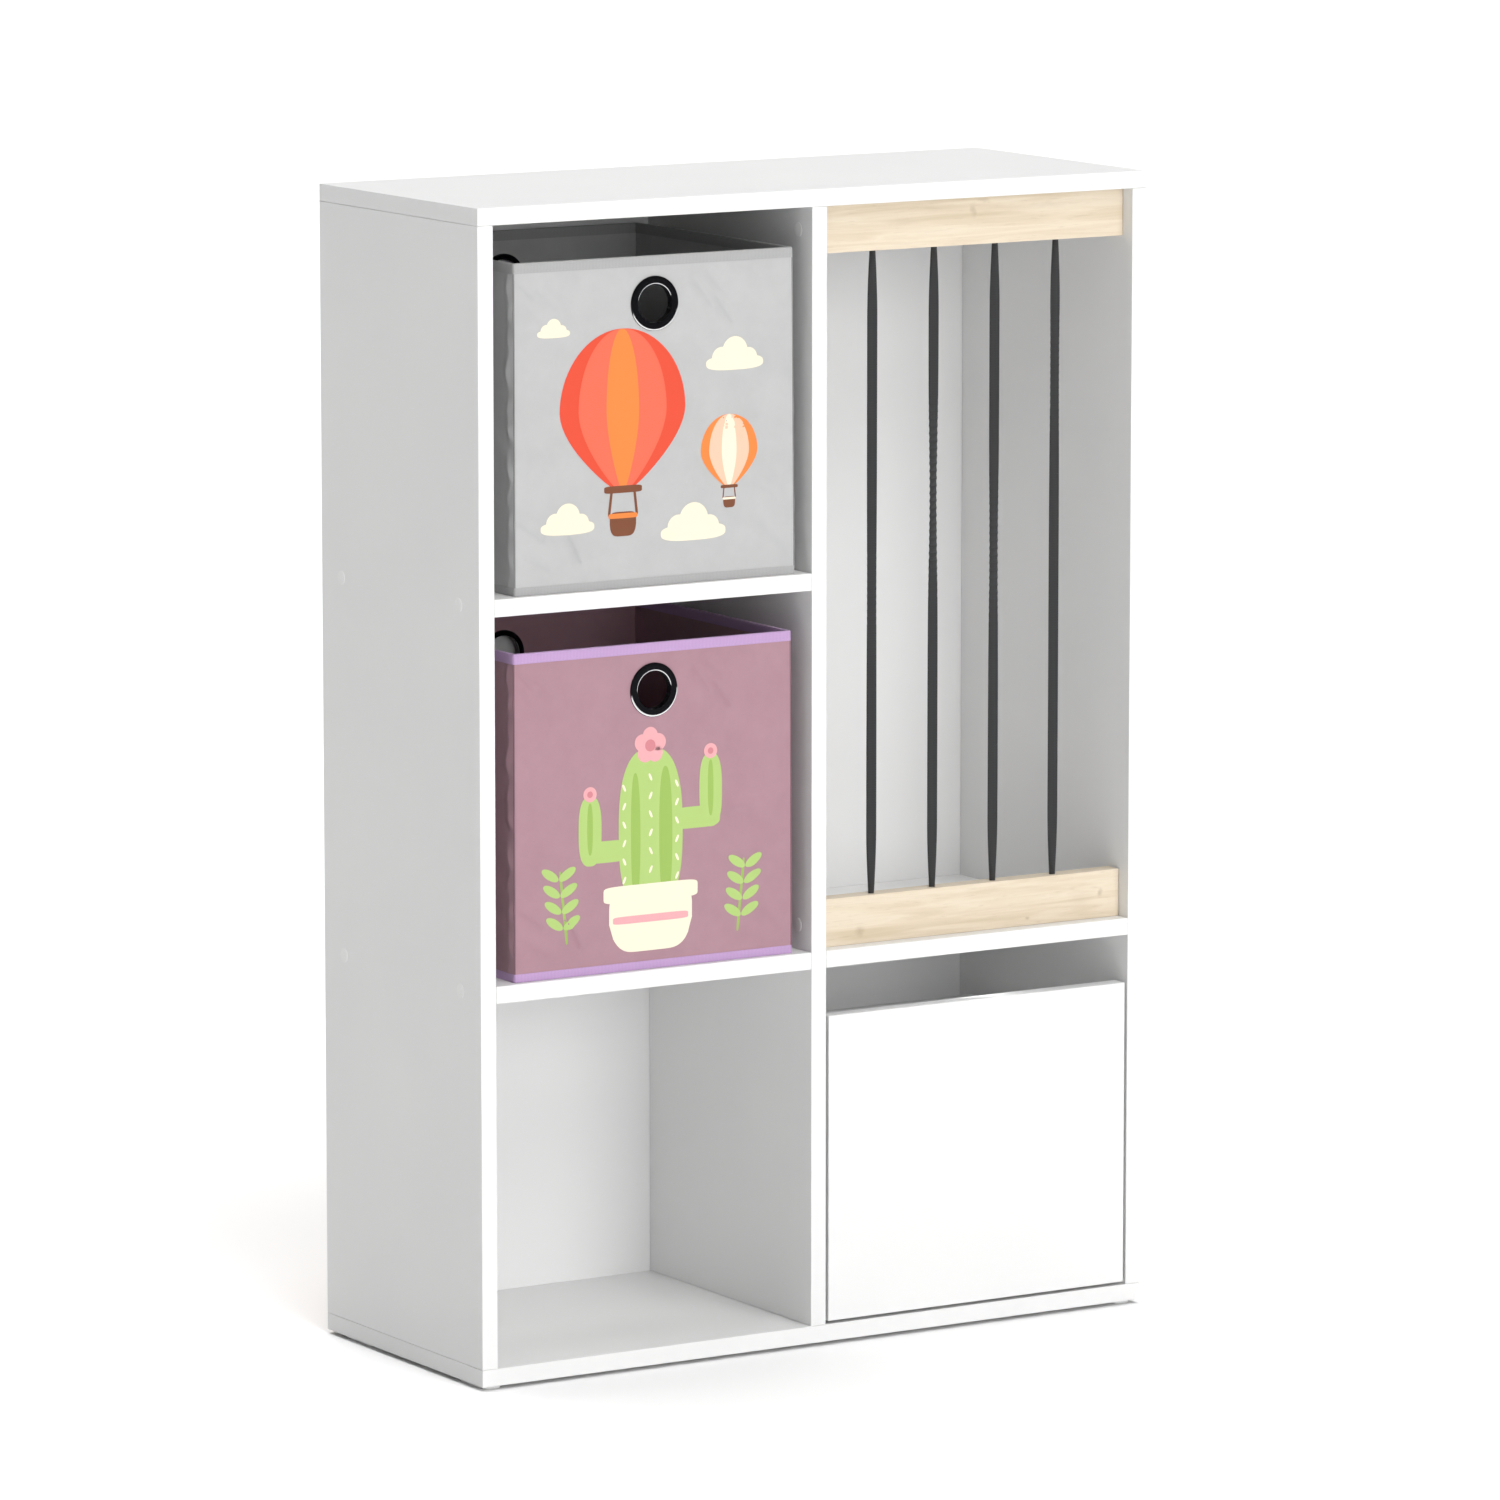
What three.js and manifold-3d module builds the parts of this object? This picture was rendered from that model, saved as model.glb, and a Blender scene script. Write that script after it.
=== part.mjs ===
// A children's shelf unit: a carcass of white boards with a column of three cells on the left,
// a tall toy bay closed by elastic bands on the right, a drawer on roller runners below it, and
// two folding fabric boxes. Millimetres, +X to the right seen from the front, +Y to the back and
// +Z up. The origin is the middle of the footprint, on the floor.
import * as THREE from 'three';
import { mergeVertices } from 'three/addons/utils/BufferGeometryUtils.js';
import Module from 'manifold-3d';

// Carcass
const unitWidth = 720;
const unitHeight = 1078;
const carcassDepth = 290; // front edge to rear edge of the white boards
const boardThickness = 16;
const seam = 0.15; // hairline left between two boards that meet
const backThickness = 3;
const backMargin = 2; // the back sheets stop this far inside the outer faces

// Plastic glides under the corners
const glideHeight = 4;
const glideLength = 47;
const glideWidth = 18;
const glideCorner = 4;
const glideSideInset = 6;
const glideFrontInset = 7;
const glideRearInset = 23;

// Wooden dowels, glued into the ends of the uprights and of the shelves
const dowelRadius = 4;
const dowelSkin = 5; // board left behind the end of a dowel
const dowelInset = 45; // from the front and rear edges
const staggeredDowelInset = 85; // where two shelves meet the divider from both sides
const dowelClearance = 0.3;

// Furniture screws, whose heads lie just under the surface
const screwLength = 50;
const screwHeadRadius = 4.8;
const screwHeadHeight = 3;
const screwHeadRim = 0.8; // the straight edge of the head above its cone
const screwShankRadius = 3.2;
const screwShankLength = 12;
const screwThreadRadius = 2.5;
const screwSocketRadius = 2;
const screwSocketDepth = 2.5;
const screwSink = 0.3; // depth of the head's face below the board's surface
const screwInset = 37; // shelf screws, from the front and rear edges
const screwClearance = 0.3;

// Wooden rails that hold the elastic bands
const railHeight = 45;
const railThickness = 18;
const railRecess = 15; // front of a rail behind the carcass's front

// Flat elastic bands, gathered into round holes at both rails
const bandCount = 4;
const bandWidth = 10.8;
const bandThickness = 1.4;
const bandRowShift = -3; // the row stands this far off the bay's middle
const bandGatherRadius = 2.8;
const bandTaper = 62; // length over which a gathered end spreads to full width
const bandEdgeSharpness = 0.45; // exponent that squares the flat section's corners
const bandHoleClearance = 0.35;
const knotRadius = 5.4;
const knotHeight = 8;
const knotPocketRadius = 6.2;
const knotPocketDepth = 9.5;
const bandTurnSpread = 80; // length over which a lean fades
const bandTurns = [ // how far each band leans round its length, and where above the lower rail
  { degrees: 6, rise: 282 },
  { degrees: 20, rise: 364 },
  { degrees: 11, rise: 308 },
  { degrees: 8, rise: 472 },
];

// Drawer
const frontReveal = 3; // gap at the sides of the drawer front and below it
const fingerGap = 45.5; // gap above the drawer front, where a hand pulls it
const drawerBoard = 12;
const drawerRearGap = 40; // from the drawer's back to the carcass's rear edge
const drawerWallDrop = 49; // the walls end this far below the top of the front
const drawerBottomThickness = 3;
const drawerBottomRise = 8; // underside of the bottom above the walls' lower edges
const grooveDepth = 5;
const grooveClearance = 0.3;
const drawerDowelRadius = 3;
const drawerDowelSkin = 5;
const drawerDowelMargin = 40; // from a wall's upper and lower edge

// Roller runners: a channel on the bay's wall, a hanger on the drawer, and a roller on each
const runnerSpace = 12.5; // between the drawer's wall and the bay's wall
const runnerFrontGap = 2; // behind the drawer front
const runnerRearGap = 22; // before the carcass's rear edge
const runnerRise = 12; // channel's underside above the bay's floor
const runnerSheet = 1.2;
const channelGap = 0.5; // between the channel's edge and the hanger
const rollerRadius = 8.5;
const rollerProud = 1; // the front roller stands this far above the channel
const rollerClearance = 0.3; // round the pin, and between a roller and its track
const rollerPinRadius = 3;
const rollerPinHeadRadius = 4.4;
const rollerPinHeadHeight = 0.8;
const rollerPinGap = 0.35; // between a pin's head and the sheet that it passes
const channelNotch = 1.5; // behind the front roller, where the channel's upper edge starts
const frontRollerSetback = 12; // axis behind the channel's front end
const rearRollerSetback = 14; // axis before the hanger's rear end
const hangerLip = 12; // under the drawer's wall
const hangerWallRise = 8; // the wall's lower edge above the channel's underside

// Fabric boxes
const boxSideGap = 21; // to the cell's walls
const boxHeadroom = 36.5; // above the rim
const boxFrontRecess = 7;
const boxRearGap = 8;
const boxRestGap = 0.3; // to the shelf that the box stands on
const boxWall = 3; // two layers of fabric with a board between them
const fabricThickness = 0.6;
const hemHeight = 9;
const cornerSeamWidth = 6;
const pocketClearance = 0.3;
const pocketMouth = 4; // a pocket opens into the box below this height
const baseBoardThickness = 3;
const baseBoardSideGap = 1.5;
const baseBoardEndGap = 3; // lets the board pass the grommets
const grommetDrop = 43; // centre below the rim
const grommetRadius = 25;
const grommetHoleRadius = 17;
const grommetBarrel = 1.2;
const grommetFaceHeight = 3.2;
const grommetLip = 1.6; // height of the face at the hole
const grommetShoulder = 1.9; // height of the face near its outer edge
const grommetShoulderInset = 1;
const grommetBackRadius = 22;
const grommetBackHeight = 1.8;
const grommetClearance = 0.2;
const eyeletClearance = 0.3; // between the barrel and the hole in the wall
const boxShifts = { grey: 4, mauve: 2.5 }; // off the middle of the cell, to the right

// Facets round a circle
const pegFacets = 8;
const screwFacets = 8;
const bandHoleFacets = 12;
const rollerFacets = 16;
const eyeletFacets = 24;
const grommetFacets = 24;
const bandSides = 8;
const bandSteps = 8; // along the flat middle of a band
const bandSpreadSteps = [0, 0.45, 0.75, 1]; // share of full width along a taper
const knotSteps = [0.12, 0.5, 0.8]; // share of the knot's height
const overcut = 1; // how far a cutting shape runs past the face that it opens

// Places worked out from the sizes above
const totalDepth = carcassDepth + backThickness;
const left = -unitWidth / 2;
const right = unitWidth / 2;
const front = -totalDepth / 2;
const rear = front + carcassDepth;
const floorTop = glideHeight + boardThickness;
const ceiling = unitHeight - boardThickness;
const cellHeight = (ceiling - floorTop - 2 * boardThickness) / 3;
const lowerShelf = floorTop + cellHeight;
const upperShelf = lowerShelf + boardThickness + cellHeight;
const halfBoard = boardThickness / 2;
const dowelReach = boardThickness - dowelSkin;
const depthSpan = [front, rear];
const cellSpan = [left + boardThickness, -halfBoard];
const baySpan = [halfBoard, right - boardThickness];
const cellWidth = cellSpan[1] - cellSpan[0];
const bayWidth = baySpan[1] - baySpan[0];
const bayMiddle = (baySpan[0] + baySpan[1]) / 2;
const railMiddle = front + railRecess + railThickness / 2;

const materials = {
  melamine: finish(0xf4f4f3, 0.45),
  backing: finish(0xeeeeec, 0.6),
  maple: finish(0xf3e3cb, 0.5),
  elastic: finish(0x2e2e2f, 0.85),
  glide: finish(0xe9e9e8, 0.5),
  steel: finish(0xb9bbbd, 0.35, 0.9),
  runner: finish(0xf0f0ee, 0.4, 0.1),
  nylon: finish(0xe4e2dc, 0.4),
  greyFabric: finish(0xcfcfce, 0.9),
  mauveFabric: finish(0xbc96a0, 0.9),
  cardboard: finish(0xb59a74, 0.9),
  grommet: finish(0x1b1b1c, 0.25),
};

const wasm = await Module();
wasm.setup();

const unit = new THREE.Group();

// A plain material with a colour, a roughness and a metalness.
function finish(color, roughness, metalness = 0) {
  return new THREE.MeshStandardMaterial({ color, roughness, metalness });
}

// Adds a named piece to a group, at a place and turned about Z.
function addPiece(parent, name, geometry, material, place = [0, 0, 0], turn = 0) {
  const mesh = new THREE.Mesh(geometry, material);
  mesh.name = name;
  mesh.position.set(...place);
  mesh.rotation.z = turn;
  parent.add(mesh);
}

// A block between two values on each axis.
function block([x0, x1], [y0, y1], [z0, z1]) {
  const geometry = new THREE.BoxGeometry(x1 - x0, y1 - y0, z1 - z0);
  return geometry.translate((x0 + x1) / 2, (y0 + y1) / 2, (z0 + z1) / 2);
}

// A round rod along X, Y or Z that starts at a point and runs in the axis's positive direction.
function rod(axis, start, length, radius, facets = pegFacets) {
  const geometry = new THREE.CylinderGeometry(radius, radius, length, facets);
  geometry.translate(0, length / 2, 0);
  if (axis === 'x') geometry.rotateZ(-Math.PI / 2);
  if (axis === 'z') geometry.rotateX(Math.PI / 2);
  return geometry.translate(...start);
}

// A ring or spool turned about Y from points of radius and height that close on themselves.
function turned(profile, facets) {
  const points = profile.map(([radius, height]) => new THREE.Vector2(radius, height));
  return new THREE.LatheGeometry(points, facets);
}

// The same shape seen in a mirror across X, with its faces still pointing out.
function mirrored(geometry) {
  const copy = mergedGeometry(geometry);
  copy.scale(-1, 1, 1);
  const index = copy.index.array;
  for (let i = 0; i < index.length; i += 3) {
    [index[i], index[i + 1]] = [index[i + 1], index[i]];
  }
  return copy;
}

// A copy that keeps positions alone, with shared vertices merged.
function mergedGeometry(geometry) {
  const copy = geometry.clone();
  copy.deleteAttribute('normal');
  copy.deleteAttribute('uv');
  return mergeVertices(copy);
}

function toSolid(geometry) {
  const merged = mergedGeometry(geometry);
  return new wasm.Manifold(new wasm.Mesh({
    numProp: 3,
    vertProperties: new Float32Array(merged.attributes.position.array),
    triVerts: new Uint32Array(merged.index.array),
  }));
}

function toGeometry(solid) {
  const mesh = solid.getMesh();
  const geometry = new THREE.BufferGeometry();
  geometry.setAttribute('position', new THREE.BufferAttribute(mesh.vertProperties, 3));
  geometry.setIndex(new THREE.BufferAttribute(mesh.triVerts, 1));
  geometry.computeVertexNormals();
  return geometry;
}

// Joins some shapes to a body and cuts others out of it.
function shaped(body, { joined = [], cut = [] }) {
  let solid = toSolid(body);
  for (const piece of joined) solid = solid.add(toSolid(piece));
  for (const piece of cut) solid = solid.subtract(toSolid(piece));
  return toGeometry(solid);
}

// A screw along +X with its head's face at the origin, grown on every side by a clearance.
function screwBody(clearance = 0) {
  const coreStart = screwShankLength + clearance;
  const tip = screwLength + clearance;
  const top = -clearance - (clearance > 0 ? screwSink : 0);
  const head = screwHeadRadius + clearance;
  const shank = screwShankRadius + clearance;
  const thread = screwThreadRadius + clearance;
  const profile = [
    [0, top], [head, top], [head, screwHeadRim], [shank, screwHeadHeight + clearance],
    [shank, coreStart], [thread, coreStart], [thread, tip - thread], [0, tip],
  ];
  return turned(profile, screwFacets).rotateZ(-Math.PI / 2);
}

// The bore that a screw leaves in the boards that it joins, at its place in the unit.
function screwBore({ place, facing }) {
  const bore = screwBody(screwClearance);
  if (facing < 0) bore.rotateZ(Math.PI);
  return bore.translate(...place);
}

// Where each screw stands: the face that it enters, its row in depth and its height.
function screwAt(name, face, facing, y, z) {
  return { name, facing, place: [face + facing * screwSink, y, z] };
}

const shelfRows = { front: front + screwInset, rear: rear - screwInset };
const upperShelfMiddle = upperShelf + halfBoard;
const lowerShelfMiddle = lowerShelf + halfBoard;
const upperRailMiddle = ceiling - railHeight / 2;
const lowerRailMiddle = lowerShelf + boardThickness + railHeight / 2;

const leftSideScrews = [];
const rightSideScrews = [];
const dividerScrews = [];
for (const [row, y] of Object.entries(shelfRows)) {
  leftSideScrews.push(screwAt(`upper_left_shelf_screw_${row}`, left, 1, y, upperShelfMiddle));
  leftSideScrews.push(screwAt(`lower_left_shelf_screw_${row}`, left, 1, y, lowerShelfMiddle));
  rightSideScrews.push(screwAt(`right_shelf_screw_${row}`, right, -1, y, lowerShelfMiddle));
}
for (const [rail, z] of [['upper_rail', upperRailMiddle], ['lower_rail', lowerRailMiddle]]) {
  rightSideScrews.push(screwAt(`${rail}_screw_right`, right, -1, railMiddle, z));
  dividerScrews.push(screwAt(`${rail}_screw_left`, -halfBoard, 1, railMiddle, z));
}
const screws = [...leftSideScrews, ...rightSideScrews, ...dividerScrews];
const screwBores = screws.map(screwBore);

// Carcass boards
const uprights = {
  left_side_panel: [left, left + boardThickness],
  centre_divider: [-halfBoard, halfBoard],
  right_side_panel: [right - boardThickness, right],
};
const dowelRows = [front + dowelInset, rear - dowelInset];
const staggeredRows = [front + staggeredDowelInset, rear - staggeredDowelInset];
const shelves = [
  { name: 'upper_left_shelf', span: cellSpan, z: upperShelf, rows: dowelRows, end: -halfBoard },
  { name: 'lower_left_shelf', span: cellSpan, z: lowerShelf, rows: dowelRows, end: -halfBoard },
  { name: 'right_shelf', span: baySpan, z: lowerShelf, rows: staggeredRows, end: halfBoard },
];

// Dowels out of the ends of an upright, or with a clearance their holes.
function uprightDowels([x0, x1], clearance = 0) {
  const x = (x0 + x1) / 2;
  const radius = dowelRadius + clearance;
  const length = 2 * dowelReach + 2 * clearance;
  return dowelRows.flatMap((y) => [
    rod('z', [x, y, ceiling - dowelReach - clearance], length, radius),
    rod('z', [x, y, floorTop - dowelReach - clearance], length, radius),
  ]);
}

// Dowels out of a shelf's end at the divider, or with a clearance their holes.
function shelfDowels({ z, rows, end }, clearance = 0) {
  const radius = dowelRadius + clearance;
  const length = 2 * dowelReach + 2 * clearance;
  return rows.map((y) => rod('x', [end - length / 2, y, z + halfBoard], length, radius));
}

for (const [name, span] of Object.entries(uprights)) {
  const body = block(span, depthSpan, [floorTop + seam, ceiling - seam]);
  const cut = [...screwBores];
  if (name === 'centre_divider') {
    cut.push(...shelves.flatMap((shelf) => shelfDowels(shelf, dowelClearance)));
  }
  const geometry = shaped(body, { joined: uprightDowels(span), cut });
  addPiece(unit, name, geometry, materials.melamine);
}

for (const shelf of shelves) {
  const [x0, x1] = shelf.span;
  const body = block([x0 + seam, x1 - seam], depthSpan, [shelf.z, shelf.z + boardThickness]);
  const geometry = shaped(body, { joined: shelfDowels(shelf), cut: screwBores });
  addPiece(unit, shelf.name, geometry, materials.melamine);
}

const dowelHoles = Object.values(uprights).flatMap((span) => uprightDowels(span, dowelClearance));
for (const [name, z] of [['top_panel', ceiling], ['bottom_panel', glideHeight]]) {
  const body = block([left, right], depthSpan, [z, z + boardThickness]);
  addPiece(unit, name, shaped(body, { cut: dowelHoles }), materials.melamine);
}

// Two thin back sheets that meet behind the divider
const backSpans = {
  back_panel_left: [left + backMargin, -seam],
  back_panel_right: [seam, right - backMargin],
};
for (const [name, span] of Object.entries(backSpans)) {
  const heightSpan = [glideHeight + backMargin, unitHeight - backMargin];
  const geometry = block(span, [rear + seam, rear + backThickness], heightSpan);
  addPiece(unit, name, geometry, materials.backing);
}

// Glides, with rounded corners, under the ends of the bottom board
function glide() {
  const outline = new THREE.Shape();
  const x = glideWidth / 2;
  const y = glideLength / 2;
  outline.moveTo(-x + glideCorner, -y);
  outline.lineTo(x - glideCorner, -y);
  outline.absarc(x - glideCorner, -y + glideCorner, glideCorner, -Math.PI / 2, 0);
  outline.absarc(x - glideCorner, y - glideCorner, glideCorner, 0, Math.PI / 2);
  outline.absarc(-x + glideCorner, y - glideCorner, glideCorner, Math.PI / 2, Math.PI);
  outline.absarc(-x + glideCorner, -y + glideCorner, glideCorner, Math.PI, 1.5 * Math.PI);
  const settings = { depth: glideHeight - seam, bevelEnabled: false, curveSegments: 3 };
  return new THREE.ExtrudeGeometry(outline, settings);
}

const glideRows = {
  front: front + glideFrontInset + glideLength / 2,
  rear: rear - glideRearInset - glideLength / 2,
};
const glideReach = right - glideSideInset - glideWidth / 2;
for (const [row, y] of Object.entries(glideRows)) {
  addPiece(unit, `glide_${row}_left`, glide(), materials.glide, [-glideReach, y, 0]);
  addPiece(unit, `glide_${row}_right`, glide(), materials.glide, [glideReach, y, 0]);
}

// Screws
for (const { name, place, facing } of screws) {
  const start = [-screwSocketRadius, 0, 0];
  const socket = rod('x', start, screwSocketRadius + screwSocketDepth, screwSocketRadius, 6);
  const geometry = shaped(screwBody(), { cut: [socket] });
  addPiece(unit, name, geometry, materials.steel, place, facing > 0 ? 0 : Math.PI);
}

// Rails, bored for the bands and for the knots that hold them
const bandPitch = bayWidth / (bandCount + 1);
const bandPlaces = [];
for (let i = 0; i < bandCount; i += 1) {
  bandPlaces.push(bayMiddle + bandRowShift + (i - (bandCount - 1) / 2) * bandPitch);
}
const lowerRailBottom = lowerShelf + boardThickness + seam;
const upperRailTop = ceiling - seam;

function rail(bottom, knotBottom) {
  const ys = [front + railRecess, front + railRecess + railThickness];
  const body = block([baySpan[0] + seam, baySpan[1] - seam], ys, [bottom, bottom + railHeight]);
  const holeRadius = bandGatherRadius + bandHoleClearance;
  const holes = bandPlaces.flatMap((x) => [
    rod('z', [x, railMiddle, bottom - overcut], railHeight + 2 * overcut, holeRadius, bandHoleFacets),
    rod('z', [x, railMiddle, knotBottom], knotPocketDepth + overcut, knotPocketRadius, bandHoleFacets),
  ]);
  return shaped(body, { cut: [...holes, ...screwBores] });
}

const upperRailBottom = upperRailTop - railHeight;
const upperRail = rail(upperRailBottom, upperRailTop - knotPocketDepth);
const lowerRail = rail(lowerRailBottom, lowerRailBottom - overcut);
addPiece(unit, 'upper_rail', upperRail, materials.maple);
addPiece(unit, 'lower_rail', lowerRail, materials.maple);

// Closes a row of rings, each with the same number of points, into one skin.
function skin(rings) {
  const sides = rings[0].length;
  const points = rings.flat();
  const index = [];
  for (let ring = 0; ring + 1 < rings.length; ring += 1) {
    for (let side = 0; side < sides; side += 1) {
      const a = ring * sides + side;
      const b = ring * sides + (side + 1) % sides;
      index.push(a, b, a + sides, b, b + sides, a + sides);
    }
  }
  const last = (rings.length - 1) * sides;
  for (let side = 1; side + 1 < sides; side += 1) {
    index.push(0, side + 1, side, last, last + side, last + side + 1);
  }
  const geometry = new THREE.BufferGeometry();
  geometry.setAttribute('position', new THREE.Float32BufferAttribute(points.flat(), 3));
  geometry.setIndex(index);
  geometry.computeVertexNormals();
  return geometry;
}

// One band's section: round where it is gathered, flat with squared edges where it is spread.
function bandRing(z, spread, turn) {
  const halfWidth = THREE.MathUtils.lerp(bandGatherRadius, bandWidth / 2, spread);
  const halfThickness = THREE.MathUtils.lerp(bandGatherRadius, bandThickness / 2, spread);
  const power = THREE.MathUtils.lerp(1, bandEdgeSharpness, spread);
  const ring = [];
  for (let i = 0; i < bandSides; i += 1) {
    const angle = (i + 0.5) * 2 * Math.PI / bandSides;
    const c = Math.cos(angle);
    const s = Math.sin(angle);
    const x = halfWidth * Math.sign(c) * Math.abs(c) ** power;
    const y = halfThickness * Math.sign(s) * Math.abs(s) ** power;
    const cosTurn = Math.cos(turn);
    const sinTurn = Math.sin(turn);
    ring.push([x * cosTurn - y * sinTurn, x * sinTurn + y * cosTurn, z]);
  }
  return ring;
}

// A round ring of a band's knot.
function knotRing(z, radius) {
  const scale = radius / bandGatherRadius;
  return bandRing(z, 0, 0).map(([x, y]) => [x * scale, y * scale, z]);
}

function elasticBand({ degrees, rise }) {
  const lowKnot = lowerRailBottom + (knotPocketDepth - knotHeight) / 2;
  const highKnot = upperRailTop - (knotPocketDepth - knotHeight) / 2;
  const lowMouth = lowerRailBottom + railHeight;
  const highMouth = upperRailBottom;
  const knotShape = knotSteps.map((share) => [
    share * knotHeight, knotRadius * Math.sin(Math.PI * share),
  ]);
  const taperStep = bandTaper / (bandSpreadSteps.length - 1);
  const flatStart = lowMouth + bandTaper;
  const flatEnd = highMouth - bandTaper;
  const stations = [{ z: lowKnot + knotHeight, spread: 0 }];
  for (const [i, spread] of bandSpreadSteps.entries()) {
    stations.push({ z: lowMouth + taperStep * i, spread });
  }
  for (let i = 1; i < bandSteps; i += 1) {
    stations.push({ z: THREE.MathUtils.lerp(flatStart, flatEnd, i / bandSteps), spread: 1 });
  }
  for (const [i, spread] of [...bandSpreadSteps].reverse().entries()) {
    stations.push({ z: flatEnd + taperStep * i, spread });
  }
  stations.push({ z: highKnot - knotHeight, spread: 0 });
  const rings = knotShape.map(([offset, radius]) => knotRing(lowKnot + offset, radius));
  for (const { z, spread } of stations) {
    const fade = Math.exp(-(((z - lowMouth - rise) / bandTurnSpread) ** 2));
    rings.push(bandRing(z, spread, THREE.MathUtils.degToRad(degrees) * fade));
  }
  for (const [offset, radius] of [...knotShape].reverse()) {
    rings.push(knotRing(highKnot - offset, radius));
  }
  return skin(rings);
}

for (const [i, x] of bandPlaces.entries()) {
  const name = `elastic_band_${i + 1}`;
  const turnOfBand = bandTurns[i % bandTurns.length];
  addPiece(unit, name, elasticBand(turnOfBand), materials.elastic, [x, railMiddle, 0]);
}

// The drawer bay: X from its middle, Y from the carcass's front and Z from the bottom board
const drawerBay = new THREE.Group();
drawerBay.position.set(bayMiddle, front, floorTop);
unit.add(drawerBay);

const frontHalf = bayWidth / 2 - frontReveal;
const frontSpan = [frontReveal, cellHeight - fingerGap];
const wallOuter = bayWidth / 2 - runnerSpace;
const wallInner = wallOuter - drawerBoard;
const wallStart = boardThickness + seam;
const wallEnd = carcassDepth - drawerRearGap;
const wallSpan = [runnerRise + hangerWallRise, frontSpan[1] - drawerWallDrop];
const bottomSpan = [
  wallSpan[0] + drawerBottomRise,
  wallSpan[0] + drawerBottomRise + drawerBottomThickness,
];
const drawerDowelHeights = [wallSpan[0] + drawerDowelMargin, wallSpan[1] - drawerDowelMargin];

// The drawer's bottom, or grown by a clearance the grooves that hold it.
function drawerBottom(clearance = 0) {
  const x = wallInner + grooveDepth - grooveClearance + clearance;
  const y0 = boardThickness - grooveDepth + grooveClearance - clearance;
  const y1 = wallEnd - drawerBoard + grooveDepth - grooveClearance + clearance;
  return block([-x, x], [y0, y1], [bottomSpan[0] - clearance, bottomSpan[1] + clearance]);
}

// Dowels from a drawer wall into the front, or from the back into a wall.
function drawerDowels(axis, x, y, clearance = 0) {
  const drawerDowelReach = drawerBoard - drawerDowelSkin;
  const length = 2 * (drawerDowelReach + clearance);
  const radius = drawerDowelRadius + clearance;
  return drawerDowelHeights.map((z) => {
    const start = axis === 'x' ? [x - length / 2, y, z] : [x, y - length / 2, z];
    return rod(axis, start, length, radius);
  });
}

const groove = drawerBottom(grooveClearance);
const wallMiddle = (wallOuter + wallInner) / 2;
const backMiddle = wallEnd - drawerBoard / 2;
const frontBoard = block([-frontHalf, frontHalf], [0, boardThickness], frontSpan);
const frontHoles = [-wallMiddle, wallMiddle].flatMap(
  (x) => drawerDowels('y', x, boardThickness, dowelClearance),
);
const drawerFront = shaped(frontBoard, { cut: [groove, ...frontHoles] });
addPiece(drawerBay, 'drawer_front', drawerFront, materials.melamine);

for (const [name, sign] of [['drawer_left_side', -1], ['drawer_right_side', 1]]) {
  const xs = [sign * wallInner, sign * wallOuter].sort((a, b) => a - b);
  const geometry = shaped(block(xs, [wallStart, wallEnd], wallSpan), {
    joined: drawerDowels('y', sign * wallMiddle, boardThickness),
    cut: [groove, ...drawerDowels('x', sign * wallInner, backMiddle, dowelClearance)],
  });
  addPiece(drawerBay, name, geometry, materials.melamine);
}

const backHalf = wallInner - seam;
const backBoard = block([-backHalf, backHalf], [wallEnd - drawerBoard, wallEnd], wallSpan);
const backDowels = [-wallInner, wallInner].flatMap((x) => drawerDowels('x', x, backMiddle));
const drawerBack = shaped(backBoard, { joined: backDowels, cut: [groove] });
addPiece(drawerBay, 'drawer_back', drawerBack, materials.melamine);
addPiece(drawerBay, 'drawer_bottom', drawerBottom(), materials.backing);

// Runners: X from the bay's wall inwards, Y from the channel's front and Z from its underside
const runnerStart = boardThickness + runnerFrontGap;
const runnerLength = carcassDepth - runnerStart - runnerRearGap;
const hangerWeb = runnerSpace - seam - runnerSheet; // outer face of the hanger's upright sheet
const channelDepth = hangerWeb - channelGap - seam;
const channelHeight = 2 * (rollerRadius + rollerClearance + runnerSheet);
const pinEnd = rollerPinGap + rollerPinHeadHeight + rollerClearance;
const rollerInset = seam + runnerSheet + pinEnd;
const rollerWidth = hangerWeb - pinEnd - rollerInset;
const rollerSpan = [rollerInset, rollerInset + rollerWidth];
const frontRollerHeight = channelHeight + rollerProud - rollerRadius;
const rearRollerHeight = runnerSheet + rollerClearance + rollerRadius;
const hangerEnd = wallEnd - runnerStart;
const rearRollerPlace = hangerEnd - rearRollerSetback;
const channelTopStart = frontRollerSetback + rollerRadius + channelNotch;

// A rivet for a roller: a pin that starts in the sheet, and a head beyond the roller.
function rollerPin(y, z, rootX, headX) {
  const [x0, x1] = [Math.min(rootX, headX), Math.max(rootX, headX)];
  const headStart = headX > rootX ? headX - rollerPinHeadHeight : headX;
  return [
    rod('x', [x0, y, z], x1 - x0, rollerPinRadius, rollerFacets),
    rod('x', [headStart, y, z], rollerPinHeadHeight, rollerPinHeadRadius, rollerFacets),
  ];
}

function channel() {
  const ys = [0, runnerLength];
  const web = block([seam, seam + runnerSheet], ys, [0, channelHeight]);
  const lower = block([seam, seam + channelDepth], ys, [0, runnerSheet]);
  const upperYs = [channelTopStart, runnerLength];
  const upperZs = [channelHeight - runnerSheet, channelHeight];
  const upper = block([seam, seam + channelDepth], upperYs, upperZs);
  const headX = rollerSpan[1] + rollerClearance + rollerPinHeadHeight;
  const pin = rollerPin(frontRollerSetback, frontRollerHeight, seam, headX);
  return shaped(web, { joined: [lower, upper, ...pin] });
}

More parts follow.
